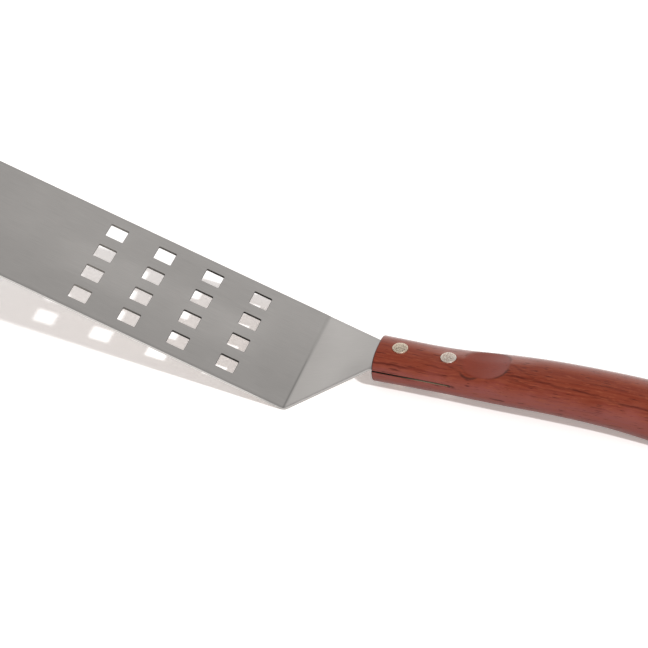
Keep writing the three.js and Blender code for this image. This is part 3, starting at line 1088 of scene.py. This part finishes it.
    def _painted_highlight_mask(self, sheet: SurfaceSheet) -> Socket:
        """Marks the painted highlight on the far shoulder, by the thumb rest.

        Args:
            sheet: the material's nodes.

        Returns:
            The socket with the mark, from 0 to 1.
        """
        return sheet.ramps(
            (sheet.x, self.highlight_from),
            (sheet.x, self.highlight_to),
            (sheet.y, self.highlight_across),
            (sheet.grain(self.highlight_patches), self.highlight_patchy),
        )

    def _painted_shade_and_marks(self, sheet: SurfaceSheet) -> Socket:
        """Marks where it is dark: painted shade along the front rim and the rim of the thumb rest, a dot at
        the end of the slot and the seam.

        Args:
            sheet: the material's nodes.

        Returns:
            The socket with the marks, from 0 to 1.
        """
        past_middle = sheet.maths("SUBTRACT", sheet.x, self.scoop_middle)
        near_side = sheet.ramps(
            (sheet.maths("ABSOLUTE", past_middle), self.rim_ends),
            (past_middle, self.rim_front),
            (sheet.y, self.rim_near),
        )
        # painted shade along the rim of the thumb rest
        scoop_rim_shade = sheet.product(
            sheet.stored(CREASE),
            sheet.largest(near_side, sheet.ramp(sheet.y, self.rim_far)),
            sheet.ramp(sheet.grain(self.rim_patches), self.rim_patchy),
        )
        # painted shade along the front rim of the wood
        front_rim_shade = sheet.ramp(sheet.x, self.front_rim_shade)
        from_slot = sheet.reach(sheet.maths("SUBTRACT", sheet.x, self.slot_end), sheet.z)
        slot_dot = sheet.ramp(from_slot, self.slot_dot)
        return sheet.largest(scoop_rim_shade, front_rim_shade, slot_dot, self._seam(sheet))

    def _seam(self, sheet: SurfaceSheet) -> Socket:
        """Marks a dark curved line on the near side, below the front of the thumb rest.

        Args:
            sheet: the material's nodes.

        Returns:
            The socket with the mark, from 0 to 1.
        """
        low_at, low_level = self.seam_low
        from_low = sheet.maths("SUBTRACT", sheet.x, low_at)
        level = sheet.total(sheet.product(from_low, from_low, self.seam_sag), low_level)
        return sheet.ramps(
            (sheet.away(sheet.z, level), self.seam_line),
            (sheet.x, self.seam_from),
            (sheet.x, self.seam_to),
            (sheet.y, self.seam_near),
            (sheet.stored(SCOOP), self.seam_uncut),
        )

    def _in_slot(self, sheet: SurfaceSheet) -> Socket:
        """Marks the walls of the saw slot, which carry painted shade at its mouth and paler painted light
        towards its end.

        Args:
            sheet: the material's nodes.

        Returns:
            The socket with the mark, 0 or 1.
        """
        lip = sheet.maths("MULTIPLY_ADD", sheet.x, self.lip_spread, self.lip_half)
        return sheet.product(
            sheet.maths("LESS_THAN", sheet.maths("ABSOLUTE", sheet.z), self.slot_half),
            sheet.maths("LESS_THAN", sheet.x, self.slot_end),
            sheet.maths("LESS_THAN", sheet.maths("ABSOLUTE", sheet.y), lip),
        )


@dataclass(frozen=True, kw_only=True)
class NickelSilver(Finish):
    """Rivet metal: pale and warm, lightly pitted from peening."""

    name: str = "nickel silver"
    front: Colour = (0.836, 0.686, 0.538, 1.0)
    rear: Colour = (0.935, 0.756, 0.648, 1.0)
    between_rivets: Ramp = Ramp(17.0, 31.0)
    pits: Span = (1.9, 1.5)  # pits per millimetre, and how much they change the tone
    pit_depth: float = 0.05 * MM
    pit_roughness: Ramp = Ramp(0.8, 1.2, 0.46, 0.32)
    # painted highlight: the rim of each head is drawn lighter
    rim_highlight: Ramp = Ramp(0.0, 1.0, 0.97, 1.14)

    def surface(self, sheet: SurfaceSheet) -> dict[str, Any]:
        """Draws the pits, and brightens the rim of each head with a painted highlight.

        Args:
            sheet: the material's nodes.

        Returns:
            A value or a socket for each input of the shader.
        """
        pits = sheet.mottle(*self.pits)
        colour = sheet.blend(sheet.ramp(sheet.x, self.between_rivets), self.front, self.rear)
        # painted highlight on the rim of each head
        rim = sheet.ramp(sheet.stored(RIM), self.rim_highlight)
        return {
            "Base Color": sheet.toned(colour, sheet.product(pits, rim)),
            "Roughness": sheet.ramp(pits, self.pit_roughness),
            "Metallic": 1.0,
            "Normal": sheet.bump(pits, depth=self.pit_depth, strength=0.5),
        }


# Sizes that the pieces share


@dataclass(frozen=True)
class RivetSizes:
    """The sizes that both rivets have, and where they stand behind the front of the wood."""

    places: Span = (11.5, 36.3)
    head: float = 7.8
    head_seat: float = 2.2
    proud: float = 0.35
    dome: float = 0.5
    rim_easing: float = 0.3
    barrel: float = 5.4
    pin: float = 3.0
    pin_length: float = 11.0
    play: float = 0.3


# Blade


@dataclass(frozen=True)
class Bend:
    """One bend of the sheet, where the lines of its middle would meet in a corner."""

    at: float
    before: float
    after: float
    radius: float

    @property
    def reach(self) -> float:
        """How far the bend runs to each side of its corner."""
        return self.radius * math.tan(abs(self.after - self.before) / 2)


@dataclass
class Blade:
    """Blade, neck and tang: one blank of sheet steel, drawn flat from the heel corner and then bent."""

    thickness: float = 1.2
    length: float = 203.2
    width: float = 76.2
    tip_radius: float = 7.0
    ground_length: float = 5.0
    ground_edge: float = 0.5
    heel_angle: float = math.radians(39.2)
    heel_radius: float = 4.0
    heel_corner_radius: float = 7.0
    neck_length: float = 39.0
    tang_angle: float = math.radians(19.8)
    crank_radius: float = 4.0
    tang_width: float = 22.4
    shoulder_radius: float = 5.0
    handle_gap: float = 0.8
    tang_length: float = 40.8
    tang_corner_radius: float = 4.0
    hole_columns: int = 4
    hole_rows: int = 4
    hole_side: float = 9.7
    hole_radius: float = 0.6
    column_pitch: float = 27.1
    row_pitch: float = 17.25
    first_column: float = 35.3
    rivets: RivetSizes = RivetSizes()
    rivet_hole: float = 6.0
    edge_rounding: float = 0.14
    corner_steps: int = 10
    hole_corner_steps: int = 6
    rivet_hole_sides: int = 32
    bend_steps: int = 12
    bend_margin: float = 0.4
    crease_angle: float = math.radians(20)

    @property
    def heel_x(self) -> float:
        """Where the middle of the blade meets the middle of the neck."""
        return self.thickness / 2 * math.tan(self.heel_angle / 2)

    @property
    def tip_x(self) -> float:
        """Where the flat blank starts."""
        return -self.length - self.heel_x

    @property
    def wood_x(self) -> float:
        """Where the flat blank enters the wood."""
        return self.neck_length + self.handle_gap

    @property
    def bends(self) -> tuple[Bend, Bend]:
        """The heel bend and the crank bend.

        Returns:
            Both, from the tip on.
        """
        half = self.thickness / 2
        return (
            Bend(0.0, 0.0, self.heel_angle, self.heel_radius + half),
            Bend(self.neck_length, self.heel_angle, self.tang_angle, self.crank_radius + half),
        )

    def loops(self) -> list[np.ndarray]:
        """Draws the outline of the flat blank and its holes, each with the steel on its left.

        Returns:
            The loops, the outline first.
        """
        side, narrow, half = self.width / 2, self.tang_width / 2, self.hole_side / 2
        near = [
            Corner(self.tip_x, -side, self.tip_radius),
            Corner(0.0, -side, self.heel_corner_radius),
            Corner(self.neck_length, -narrow, self.shoulder_radius),
            Corner(self.wood_x + self.tang_length, -narrow, self.tang_corner_radius),
        ]
        far = [Corner(c.x, -c.y, c.radius) for c in reversed(near)]
        loops = [rounded_loop(near + far, self.corner_steps)]
        square = [(-half, -half), (-half, half), (half, half), (half, -half)]
        hole = rounded_loop([Corner(x, y, self.hole_radius) for x, y in square], self.hole_corner_steps)
        for column in range(self.hole_columns):
            for row in range(self.hole_rows):
                x = -self.first_column - self.heel_x - column * self.column_pitch
                y = (row - (self.hole_rows - 1) / 2) * self.row_pitch
                loops.append(hole + (x, y))
        turn = -np.linspace(0, 2 * np.pi, self.rivet_hole_sides, endpoint=False)
        ring = self.rivet_hole / 2 * np.stack((np.cos(turn), np.sin(turn)), axis=1)
        loops += [ring + (self.wood_x + place, 0.0) for place in self.rivets.places]
        return loops

    def cuts(self) -> list[float]:
        """Lists where the flat blank is split, by its ground bevel and across its bends.

        Returns:
            The places along the blank.
        """
        ground_to = self.tip_x + self.ground_length
        cuts = [ground_to, ground_to + self.bend_margin]
        for bend in self.bends:
            margin = bend.reach + self.bend_margin
            cuts += [bend.at - margin, bend.at + margin]
            cuts += list(np.linspace(bend.at - bend.reach, bend.at + bend.reach, self.bend_steps + 1))
        return cuts

    def blank(self) -> bpy.types.Object:
        """Makes the flat blank, with its edges eased and split where it will bend.

        Returns:
            The blank, which lies on its underside.
        """
        ease, slope = self.edge_rounding, self.edge_rounding * (1 - math.sqrt(0.5))
        top = self.thickness
        profile = [(ease, 0), (slope, slope), (0, ease), (0, top - ease), (slope, top - slope), (ease, top)]
        work = bmesh.new()
        rims: list[list[bmesh.types.BMEdge]] = [[], []]
        for number, loop in enumerate(self.loops()):
            finish = SheetFace.SHEARED if number else SheetFace.GROUND
            rings = []
            for inset, height in profile:
                rings.append([work.verts.new((x, y, height)) for x, y in inset_loop(loop, inset)])
            for lower, upper in zip(rings, rings[1:]):
                for i, corner in enumerate(lower):
                    wall = work.faces.new((lower[i - 1], corner, upper[i], upper[i - 1]))
                    wall.material_index = finish.value
            for rim, ring in zip(rims, (rings[0], rings[-1])):
                rim += [work.edges.get((corner, ring[i - 1])) for i, corner in enumerate(ring)]
        for rim in rims:
            bmesh.ops.triangle_fill(work, use_beauty=True, edges=rim)
        for at in self.cuts():
            everything = work.verts[:] + work.edges[:] + work.faces[:]
            bmesh.ops.bisect_plane(work, geom=everything, plane_co=(at, 0, 0), plane_no=(1, 0, 0))
        bmesh.ops.recalc_face_normals(work, faces=work.faces)
        mesh = bpy.data.meshes.new("blade_sheet")
        work.to_mesh(mesh)
        work.free()
        return show("blade_sheet", mesh)

    def ground(self, flat: np.ndarray) -> np.ndarray:
        """Grinds the bevel along the tip.

        Args:
            flat: points of the flat blank.

        Returns:
            The points with the upper face taken down near the tip.
        """
        share = np.clip((flat[:, 0] - self.tip_x) / self.ground_length, 0, 1)
        left = self.ground_edge + (self.thickness - self.ground_edge) * share
        return np.stack((flat[:, 0], flat[:, 1], flat[:, 2] * left / self.thickness), axis=1)

    def bent(self, flat: np.ndarray) -> np.ndarray:
        """Carries points of the flat blank to the bent sheet.

        Args:
            flat: points along the blank, across it and above its underside.

        Returns:
            The points in the blade's own frame.
        """
        along = flat[:, 0]
        slope = np.zeros(len(flat))
        corner = np.array((self.heel_x, self.thickness / 2))
        middle = corner + np.stack((along, np.zeros(len(flat))), axis=1)
        last = 0.0
        for bend in self.bends:
            ahead = np.array((math.cos(bend.before), math.sin(bend.before)))
            corner = corner + ahead * (bend.at - last)
            last = bend.at
            out = np.array((math.cos(bend.after), math.sin(bend.after)))
            beyond = along > bend.at
            middle[beyond] = corner + (along[beyond, None] - bend.at) * out
            slope[beyond] = bend.after
            inside = np.abs(along - bend.at) < bend.reach
            turn = (bend.after - bend.before) * (along[inside] - bend.at + bend.reach) / (2 * bend.reach)
            side = math.copysign(1.0, bend.after - bend.before) * np.array((-ahead[1], ahead[0]))
            arc = np.abs(np.sin(turn))[:, None] * ahead + (1 - np.cos(turn))[:, None] * side
            middle[inside] = corner - ahead * bend.reach + bend.radius * arc
            slope[inside] = bend.before + turn
        height = flat[:, 2] - self.thickness / 2
        x = middle[:, 0] - height * np.sin(slope)
        z = middle[:, 1] + height * np.cos(slope)
        return np.stack((x, flat[:, 1], z), axis=1)

    def handle_front(self) -> Span:
        """Gives where the middle of the tang enters the wood, along and above the blade's own frame."""
        x, _, z = self.bent(np.array([(self.wood_x, 0.0, self.thickness / 2)]))[0]
        return float(x), float(z)

    def build(self, pose: RestingPose) -> bpy.types.Object:
        """Makes the bent blade in the row frame.

        Args:
            pose: how the spatula lies.

        Returns:
            The blade.
        """
        made = self.blank()
        flat = corners_of(made.data)
        store(made.data, PLACE, flat)
        set_corners(made.data, pose.to_row(self.bent(self.ground(flat))))
        shade(made.data, self.crease_angle)
        return made

    def dress(self, made: bpy.types.Object, effects: SurfaceEffects) -> None:
        """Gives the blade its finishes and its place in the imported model.

        Args:
            made: the built blade.
            effects: the shared node groups.
        """
        taper = math.atan2((self.width - self.tang_width) / 2, self.neck_length)
        finishes = {
            SheetFace.POLISHED: BrushedSteel(half_width=self.width / 2, neck_taper=taper),
            SheetFace.GROUND: GROUND_EDGE,
            SheetFace.SHEARED: SHEARED_HOLE,
        }
        for face in SheetFace:
            made.data.materials.append(finishes[face].make(effects))
        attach(made, BODY)
        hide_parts("blade")


# Handle


@dataclass(frozen=True)
class HandleSeat:
    """How the handle's own frame sits on the tang and lies in the row frame."""

    front: Span
    angle: float
    pose: RestingPose

    def place(self, points: np.ndarray) -> np.ndarray:
        """Carries points from the handle's own frame to the row frame."""
        lifted = pitched(points, self.angle) + (self.front[0], 0.0, self.front[1])
        return self.pose.to_row(lifted)


@dataclass(frozen=True)
class Section:
    """A section of the handle: its crown above the tang, its belly below it, and its width."""

    at: float
    crown: float
    belly: float
    width: float


@dataclass
class Handle:
    """The hardwood handle, from the front of the wood to the butt, about the middle of the tang."""

    length: float = 155.0
    sections: tuple[Section, ...] = (
        Section(0.0, 7.8, 10.5, 25.2),
        Section(36.0, 6.8, 10.2, 26.0),
        Section(68.0, 9.4, 10.4, 28.0),
        Section(90.0, 10.5, 10.3, 28.6),
        Section(122.0, 10.0, 12.6, 29.0),
        Section(155.0, 6.5, 17.7, 32.4),
    )
    section_power: float = 2.6
    front_rounding: float = 0.9
    butt_dome: float = 11.0
    slot_length: float = 41.4
    slot_height: float = 1.25
    saw_radius: float = 71.0
    scoop_start: float = 43.6
    scoop_length: float = 24.0
    scoop_radius: float = 37.5
    scoop_softness: float = 0.16
    scoop_above: float = 3.0  # the scoop touches nothing below this height over the tang
    scoop_edge: float = 0.12  # the depth over which the scooped face begins
    rim_width: float = 0.2
    rivets: RivetSizes = RivetSizes()
    rivet_play: float = 0.15
    cutter_excess: float = 5.0
    cutter_half: float = 18.0
    cutter_rows: int = 25
    cutter_sides: int = 64
    slot_end_steps: int = 8
    sides: int = 176
    spread_for: Span = (14.0, 9.0)  # half width and half height that the sides are spread evenly for
    spread_steps: int = 4000
    front_steps: int = 10
    butt_steps: int = 28
    step: float = 0.62
    scoop_step: float = 0.3
    scoop_margin: float = 2.0
    crease_angle: float = math.radians(38)
    crown: SmoothCurve = field(init=False, repr=False)
    belly: SmoothCurve = field(init=False, repr=False)
    half: SmoothCurve = field(init=False, repr=False)

    def __post_init__(self) -> None:
        """Draws the curves through the sections."""
        places = tuple(s.at for s in self.sections)
        self.crown = SmoothCurve(places, tuple(s.crown for s in self.sections))
        self.belly = SmoothCurve(places, tuple(s.belly for s in self.sections))
        self.half = SmoothCurve(places, tuple(s.width / 2 for s in self.sections))

    @property
    def scoop_middle(self) -> float:
        """Where the middle of the thumb rest lies."""
        return self.scoop_start + self.scoop_length / 2

    def _superellipse(self, turn: np.ndarray) -> tuple[np.ndarray, np.ndarray]:
        """Draws a rounded square of half side 1.

        Args:
            turn: the angle of each point, in the section's own measure.

        Returns:
            How far across and how far up each point lies.
        """
        power = 2 / self.section_power
        across = np.sign(np.cos(turn)) * np.abs(np.cos(turn)) ** power
        upward = np.sign(np.sin(turn)) * np.abs(np.sin(turn)) ** power
        return across, upward

    def turns(self) -> np.ndarray:
        """Spreads the sides of a section evenly along its outline.

        Returns:
            The angle of each side in the section's own measure.
        """
        fine = np.linspace(0, 2 * np.pi, self.spread_steps + 1)
        across, upward = self._superellipse(fine)
        half_width, half_height = self.spread_for
        steps = np.hypot(np.diff(half_width * across), np.diff(half_height * upward))
        walked = np.concatenate(([0], np.cumsum(steps)))
        return np.interp(np.linspace(0, walked[-1], self.sides, endpoint=False), walked, fine)

    def ring(self, turns: np.ndarray, place: float, inset: float, share: float) -> np.ndarray:
        """Draws one section of the handle.

        Args:
            turns: the angle of each side.
            place: how far it lies behind the front of the wood.
            inset: how far it is drawn in all round.
            share: how much of its size is left after that.

        Returns:
            The points of the section.
        """
        crown, belly, half = (float(curve.at(place)) - inset for curve in (self.crown, self.belly, self.half))
        centre = (crown - belly) / 2
        widest = (crown - belly) / 4
        across, upward = self._superellipse(turns)
        height = widest + np.where(upward > 0, crown - widest, belly + widest) * upward
        along = np.full(len(turns), place)
        return np.stack((along, share * half * across, centre + share * (height - centre)), axis=1)

    def places(self) -> list[Axes]:
        """Lists the sections that the handle is lofted through, from the front to the butt.

        Returns:
            The place, inset and share of each.
        """
        rounding = self.front_rounding
        rows = []
        for turn in np.linspace(0, math.pi / 2, self.front_steps, endpoint=False):
            rows.append((rounding * (1 - math.cos(turn)), rounding * (1 - math.sin(turn)), 1.0))
        at, dome = rounding, self.length - self.butt_dome
        while at < dome - self.step / 2:
            rows.append((at, 0.0, 1.0))
            scooped = abs(at - self.scoop_middle) < self.scoop_length / 2 + self.scoop_margin
            at += self.scoop_step if scooped else self.step
        for turn in np.linspace(0, math.pi / 2, self.butt_steps, endpoint=False):
            share = math.cos(turn) ** (2 / self.section_power)
            rows.append((dome + self.butt_dome * math.sin(turn), 0.0, share))
        return rows

    def scoop_floor(self, place: np.ndarray) -> np.ndarray:
        """Gives the height of the thumb rest's arc.

        Args:
            place: how far each point lies behind the front of the wood.

        Returns:
            The height of the arc above the tang, at each point.
        """
        ends = np.array((self.scoop_start, self.scoop_start + self.scoop_length))
        heights = self.crown.at(ends)
        chord = np.array((ends[1] - ends[0], heights[1] - heights[0]))
        middle = np.array((ends.mean(), heights.mean()))
        span = float(np.linalg.norm(chord))
        outward = np.array((-chord[1], chord[0])) / span
        centre = middle + outward * math.sqrt(self.scoop_radius**2 - span**2 / 4)
        furthest = 0.95 * self.scoop_radius  # where the arc grows too steep to matter
        across = np.clip(place - centre[0], -furthest, furthest)
        return centre[1] - np.sqrt(self.scoop_radius**2 - across**2)

    def _scooped(self, points: np.ndarray) -> np.ndarray:
        """Lowers the crown to the thumb rest, with a slightly eased rim.

        Args:
            points: the points of the blank.

        Returns:
            The new height of each point.
        """
        height = points[:, 2]
        soft = self.scoop_softness
        limit = 40.0  # further from the rim than this, the easing no longer shows
        gap = np.clip((height - self.scoop_floor(points[:, 0])) / soft, -limit, limit)
        eased = height - soft * np.log1p(np.exp(gap))
        return np.where(height > self.scoop_above, eased, height)

    def _mark_scoop(self, mesh: bpy.types.Mesh, points: np.ndarray) -> None:
        """Stores which points lie in the thumb rest, and which lie near its rim.

        Args:
            mesh: the mesh of the handle.
            points: its points, in the handle's own frame.
        """
        x, y, z = points.T
        floor = self.scoop_floor(x)
        near = (z > self.scoop_above) & (np.abs(x - self.scoop_middle) < self.scoop_length)
        store(mesh, SCOOP, near * np.clip(1 + (z - floor) / self.scoop_edge, 0, 1))
        crown = self.crown.at(x)
        widest = (crown - self.belly.at(x)) / 4
        across = np.clip(np.abs(y) / self.half.at(x), 0, 1)
        upward = (1 - across**self.section_power) ** (1 / self.section_power)
        uncut = widest + (crown - widest) * upward
        store(mesh, CREASE, near * np.exp(-(((uncut - floor) / self.rim_width) ** 2)))

    def slot_cutter(self) -> bpy.types.Object:
        """Makes the saw's path: a thin slab that ends in an arc of the saw, deepest in the middle.

        Returns:
            The cutter, in the handle's own frame.
        """
        half, front, end = self.slot_height / 2, -self.cutter_excess, self.slot_length
        nearly_half = 0.999 * half
        corners = [
            Corner(front, -half),
            Corner(end, -half, nearly_half),
            Corner(end, half, nearly_half),
            Corner(front, half),
        ]
        along, height = rounded_loop(corners, self.slot_end_steps).T
        rings = []
        for across in np.linspace(-self.cutter_half, self.cutter_half, self.cutter_rows):
            shorter = self.saw_radius - math.sqrt(self.saw_radius**2 - across**2)
            cut_to = np.where(along > 0, along - shorter, along)
            rings.append(np.stack((cut_to, np.full(len(along), across), height), axis=1))
        return closed_tube("slot_cutter", rings)

    def rivet_cutter(self, place: float) -> bpy.types.Object:
        """Makes the stepped drill for one rivet.

        Args:
            place: how far the rivet lies behind the front of the wood.

        Returns:
            The cutter, in the handle's own frame.
        """
        head = self.rivets.head / 2 + self.rivet_play
        barrel = self.rivets.barrel / 2 + self.rivet_play
        upper = float(self.crown.at(place)) - self.rivets.head_seat
        lower = self.rivets.head_seat - float(self.belly.at(place))
        out = self.rivets.head_seat + self.cutter_excess
        above = [(0.0, upper + out), (head, upper + out), (head, upper), (barrel, upper)]
        below = [(barrel, lower), (head, lower), (head, lower - out), (0.0, lower - out)]
        made = turned("rivet_cutter", above + below, self.cutter_sides)
        set_corners(made.data, corners_of(made.data) + (place, 0.0, 0.0))
        return made

    def build(self, seat: HandleSeat) -> bpy.types.Object:
        """Makes the finished handle in the row frame.

        Args:
            seat: how the handle sits on the tang.

        Returns:
            The handle.
        """
        turns = self.turns()
        made = closed_tube("hardwood_handle", [self.ring(turns, *row) for row in self.places()])
        points = corners_of(made.data)
        points[:, 2] = self._scooped(points)
        set_corners(made.data, points)
        carve(made, [self.slot_cutter(), *(self.rivet_cutter(place) for place in self.rivets.places)])
        points = corners_of(made.data)
        self._mark_scoop(made.data, points)
        store(made.data, PLACE, points)
        set_corners(made.data, seat.place(points))
        shade(made.data, self.crease_angle)
        return made

    def dress(self, made: bpy.types.Object, effects: SurfaceEffects) -> None:
        """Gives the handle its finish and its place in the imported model.

        Args:
            made: the built handle.
            effects: the shared node groups.
        """
        made.data.materials.clear()
        made.data.materials.append(RedHardwood(scoop_middle=self.scoop_middle).make(effects))
        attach(made, BODY)
        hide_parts("handle")


# Rivets


@dataclass
class CutlersRivet:
    """A cutler's rivet: a domed head on a solid pin, pressed into a domed head on a bored barrel."""

    end: RivetEnd
    place: float
    crown: float
    belly: float
    sizes: RivetSizes = RivetSizes()
    sides: int = 72
    dome_steps: int = 16
    rim_span: Span = (0.7, 0.95)  # shares of a head's radius over which its rim begins
    crease_angle: float = math.radians(40)

    def _dome(self, rim: float) -> list[Span]:
        """Draws the domed face of a head from its axis to its eased rim.

        Args:
            rim: the height of the rim.

        Returns:
            Radius and height of each point.
        """
        reach, dome = self.sizes.head / 2, self.sizes.dome
        turns = np.linspace(0, math.pi / 2, self.dome_steps, endpoint=False)
        face = [(reach * math.sin(turn), rim + dome * math.cos(turn)) for turn in turns]
        return face + [(reach, rim - self.sizes.rim_easing / 2)]

    def _stud(self) -> list[Span]:
        """Draws the upper half: a head on a solid pin.

        Returns:
            Radius and height of each point.
        """
        sizes = self.sizes
        pin = sizes.pin / 2
        seat = self.crown - sizes.head_seat + sizes.play
        pin_end = seat - sizes.pin_length
        face = self._dome(self.crown + sizes.proud)
        return face + [(sizes.head / 2, seat), (pin, seat), (pin, pin_end), (0.0, pin_end)]

    def _socket(self) -> list[Span]:
        """Draws the lower half: a head on a barrel, bored for the pin.

        Returns:
            Radius and height of each point.
        """
        sizes = self.sizes
        barrel, bore = sizes.barrel / 2, sizes.pin / 2 + sizes.play
        seat = sizes.head_seat - self.belly - sizes.play
        barrel_end = self.crown - sizes.head_seat
        bore_end = barrel_end - sizes.pin_length
        face = [(radius, -height) for radius, height in self._dome(self.belly + sizes.proud)]
        outside = [(sizes.head / 2, seat), (barrel, seat), (barrel, barrel_end)]
        return face + outside + [(bore, barrel_end), (bore, bore_end), (0.0, bore_end)]

    def build(self, seat: HandleSeat) -> dict[str, bpy.types.Object]:
        """Makes both halves in the row frame.

        Args:
            seat: how the handle sits on the tang.

        Returns:
            Each half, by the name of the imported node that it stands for.
        """
        halves = {}
        rim_start, rim_end = self.rim_span
        for half, profile in (("stud", self._stud()), ("socket", self._socket())):
            node = f"{self.end.value}_rivet_{half}"
            made = turned(f"{node}_head", profile, self.sides)
            points = corners_of(made.data)
            reach = np.hypot(points[:, 0], points[:, 1]) / (self.sizes.head / 2)
            store(made.data, RIM, np.clip((reach - rim_start) / (rim_end - rim_start), 0, 1))
            points = points + (self.place, 0.0, 0.0)
            store(made.data, PLACE, points)
            set_corners(made.data, seat.place(points))
            shade(made.data, self.crease_angle)
            halves[node] = made
        return halves

    @staticmethod
    def dress(halves: dict[str, bpy.types.Object], finish: bpy.types.Material) -> None:
        """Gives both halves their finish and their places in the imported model.

        Args:
            halves: each half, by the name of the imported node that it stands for.
            finish: the rivet metal.
        """
        for node, made in halves.items():
            made.data.materials.append(finish)
            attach(made, BODY)
            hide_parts(node)


# Studio


@dataclass(frozen=True)
class Studio:
    """White paper, an even sky and one lamp high at the front right."""

    floor_side: float = 8.0
    floor_shade: Colour = (0.98, 0.98, 0.98, 1.0)  # what the floor shows of the light on it
    floor_glow: Colour = (0.284, 0.254, 0.240, 1.0)  # what it shows of its own, for pale shadows
    floor_bounce: Colour = (0.48, 0.48, 0.48, 1.0)  # what it sends back to the spatula
    sky: float = 0.48
    seen_overhead: Ramp = Ramp(0.30, 0.9, 1.0, 0.46)
    seen_above_horizon: Ramp = Ramp(0.02, 0.34, 1.0, 0.78)
    sun: float = 2.25
    sun_spread: float = math.radians(3.2)
    sun_from: Axes = (0.7915, -0.5607, 1.0)

    @staticmethod
    def _rays(sheet: NodeSheet) -> tuple[Socket, Socket]:
        """Tells whether a ray comes from the camera, and whether from gloss or through glass."""
        path = sheet.add("ShaderNodeLightPath").outputs
        return path["Is Camera Ray"], sheet.largest(path["Is Glossy Ray"], path["Is Transmission Ray"])

    def lay_floor(self) -> None:
        """Lays the white paper, which shows the shadows and is paler than the light that it sends back."""
        half = self.floor_side / 2
        corners = np.array(((-half, -half, 0), (half, -half, 0), (half, half, 0), (-half, half, 0)))
        floor = mesh_object("white_paper", corners, [(0, 1, 2, 3)])
        material = bpy.data.materials.new("white paper")
        material.use_nodes = True
        sheet = NodeSheet(material.node_tree)
        bounce = sheet.add("ShaderNodeBsdfDiffuse", {"Color": self.floor_bounce})
        shown = sheet.add("ShaderNodeBsdfDiffuse", {"Color": self.floor_shade})
        glow = sheet.add("ShaderNodeEmission", {"Color": self.floor_glow, "Strength": 1.0})
        lit = sheet.add("ShaderNodeAddShader", {0: shown.outputs[0], 1: glow.outputs[0]})
        seen = sheet.largest(*self._rays(sheet))
        either = sheet.add("ShaderNodeMixShader", {0: seen, 1: bounce.outputs[0], 2: lit.outputs[0]})
        sheet.add("ShaderNodeOutputMaterial", {"Surface": either.outputs[0]})
        floor.data.materials.append(material)

    def hang_sky(self) -> None:
        """Sets the even sky, white where it is seen and a little deeper overhead in the gloss."""
        world = bpy.data.worlds.new("studio sky")
        bpy.context.scene.world = world
        world.use_nodes = True
        sheet = NodeSheet(world.node_tree)
        _, _, height = sheet.split(sheet.add("ShaderNodeTexCoord").outputs["Generated"])
        mirrored = sheet.ramps((height, self.seen_overhead), (height, self.seen_above_horizon))
        camera, gloss = self._rays(sheet)
        strength = sheet.largest(sheet.between(gloss, self.sky, mirrored), camera)
        background = sheet.add("ShaderNodeBackground", {"Color": WHITE, "Strength": strength})
        sheet.add("ShaderNodeOutputWorld", {"Surface": background.outputs[0]})

    def hang_lamp(self) -> None:
        """Hangs the one lamp, far away so that the shadows stay crisp."""
        lamp = bpy.data.lights.new("key lamp", "SUN")
        lamp.energy = self.sun
        lamp.angle = self.sun_spread
        made = show("key lamp", lamp)
        made.rotation_euler = Vector(self.sun_from).to_track_quat("Z", "Y").to_euler()


@dataclass(frozen=True)
class Viewpoint:
    """The camera of the photograph, in the blade's own frame."""

    place: Axes = (35.3095, -1012.4042, 963.5331)
    aim: Axes = (-1.0289, 30.8330, 0.8620)
    up: Axes = (-0.4256, 0.6056, 0.6724)
    lens: float = 153.803
    sensor: float = 36.0
    clip: Span = (0.05, 50.0)  # in metres

    def set_up(self, pose: RestingPose) -> None:
        """Makes the camera and gives it to the scene.

        Args:
            pose: how the spatula lies.
        """
        camera = bpy.data.cameras.new("photograph camera")
        camera.lens = self.lens
        camera.sensor_width = self.sensor
        camera.sensor_fit = "HORIZONTAL"
        camera.clip_start, camera.clip_end = self.clip
        made = show("photograph camera", camera)
        place, aim = (Vector(point) for point in pose.to_row(np.array((self.place, self.aim))))
        back = (place - aim).normalized()
        right = pose.direction_to_row(self.up).cross(back).normalized()
        axes = Matrix((right, back.cross(right), back)).transposed()
        made.matrix_world = Matrix.Translation(place) @ axes.to_4x4()
        bpy.context.scene.camera = made


def report(made: bpy.types.Object) -> None:
    """Reports a finished piece."""
    LOG.info("%s: %d faces", made.name, len(made.data.polygons))


def main() -> None:
    """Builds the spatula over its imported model, dresses it and sets it in the studio."""
    logging.basicConfig(level=logging.INFO, format="%(name)s: %(message)s")
    for leftover in list(bpy.data.objects):
        bpy.data.objects.remove(leftover)
    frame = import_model()
    pose = RestingPose.from_record(frame["record"])
    effects = SurfaceEffects()

    blade = Blade()
    steel = blade.build(pose)
    blade.dress(steel, effects)
    report(steel)

    seat = HandleSeat(blade.handle_front(), blade.tang_angle, pose)
    handle = Handle()
    wood = handle.build(seat)
    handle.dress(wood, effects)
    report(wood)

    nickel = NickelSilver().make(effects)
    for end, place in zip(RivetEnd, handle.rivets.places):
        rivet = CutlersRivet(end, place, float(handle.crown.at(place)), float(handle.belly.at(place)))
        halves = rivet.build(seat)
        rivet.dress(halves, nickel)
        for half in halves.values():
            report(half)

    studio = Studio()
    studio.lay_floor()
    studio.hang_sky()
    studio.hang_lamp()
    Viewpoint().set_up(pose)
    bpy.context.scene.view_settings.view_transform = "Standard"
    LOG.info("scene ready")


if __name__ == "__main__":
    main()
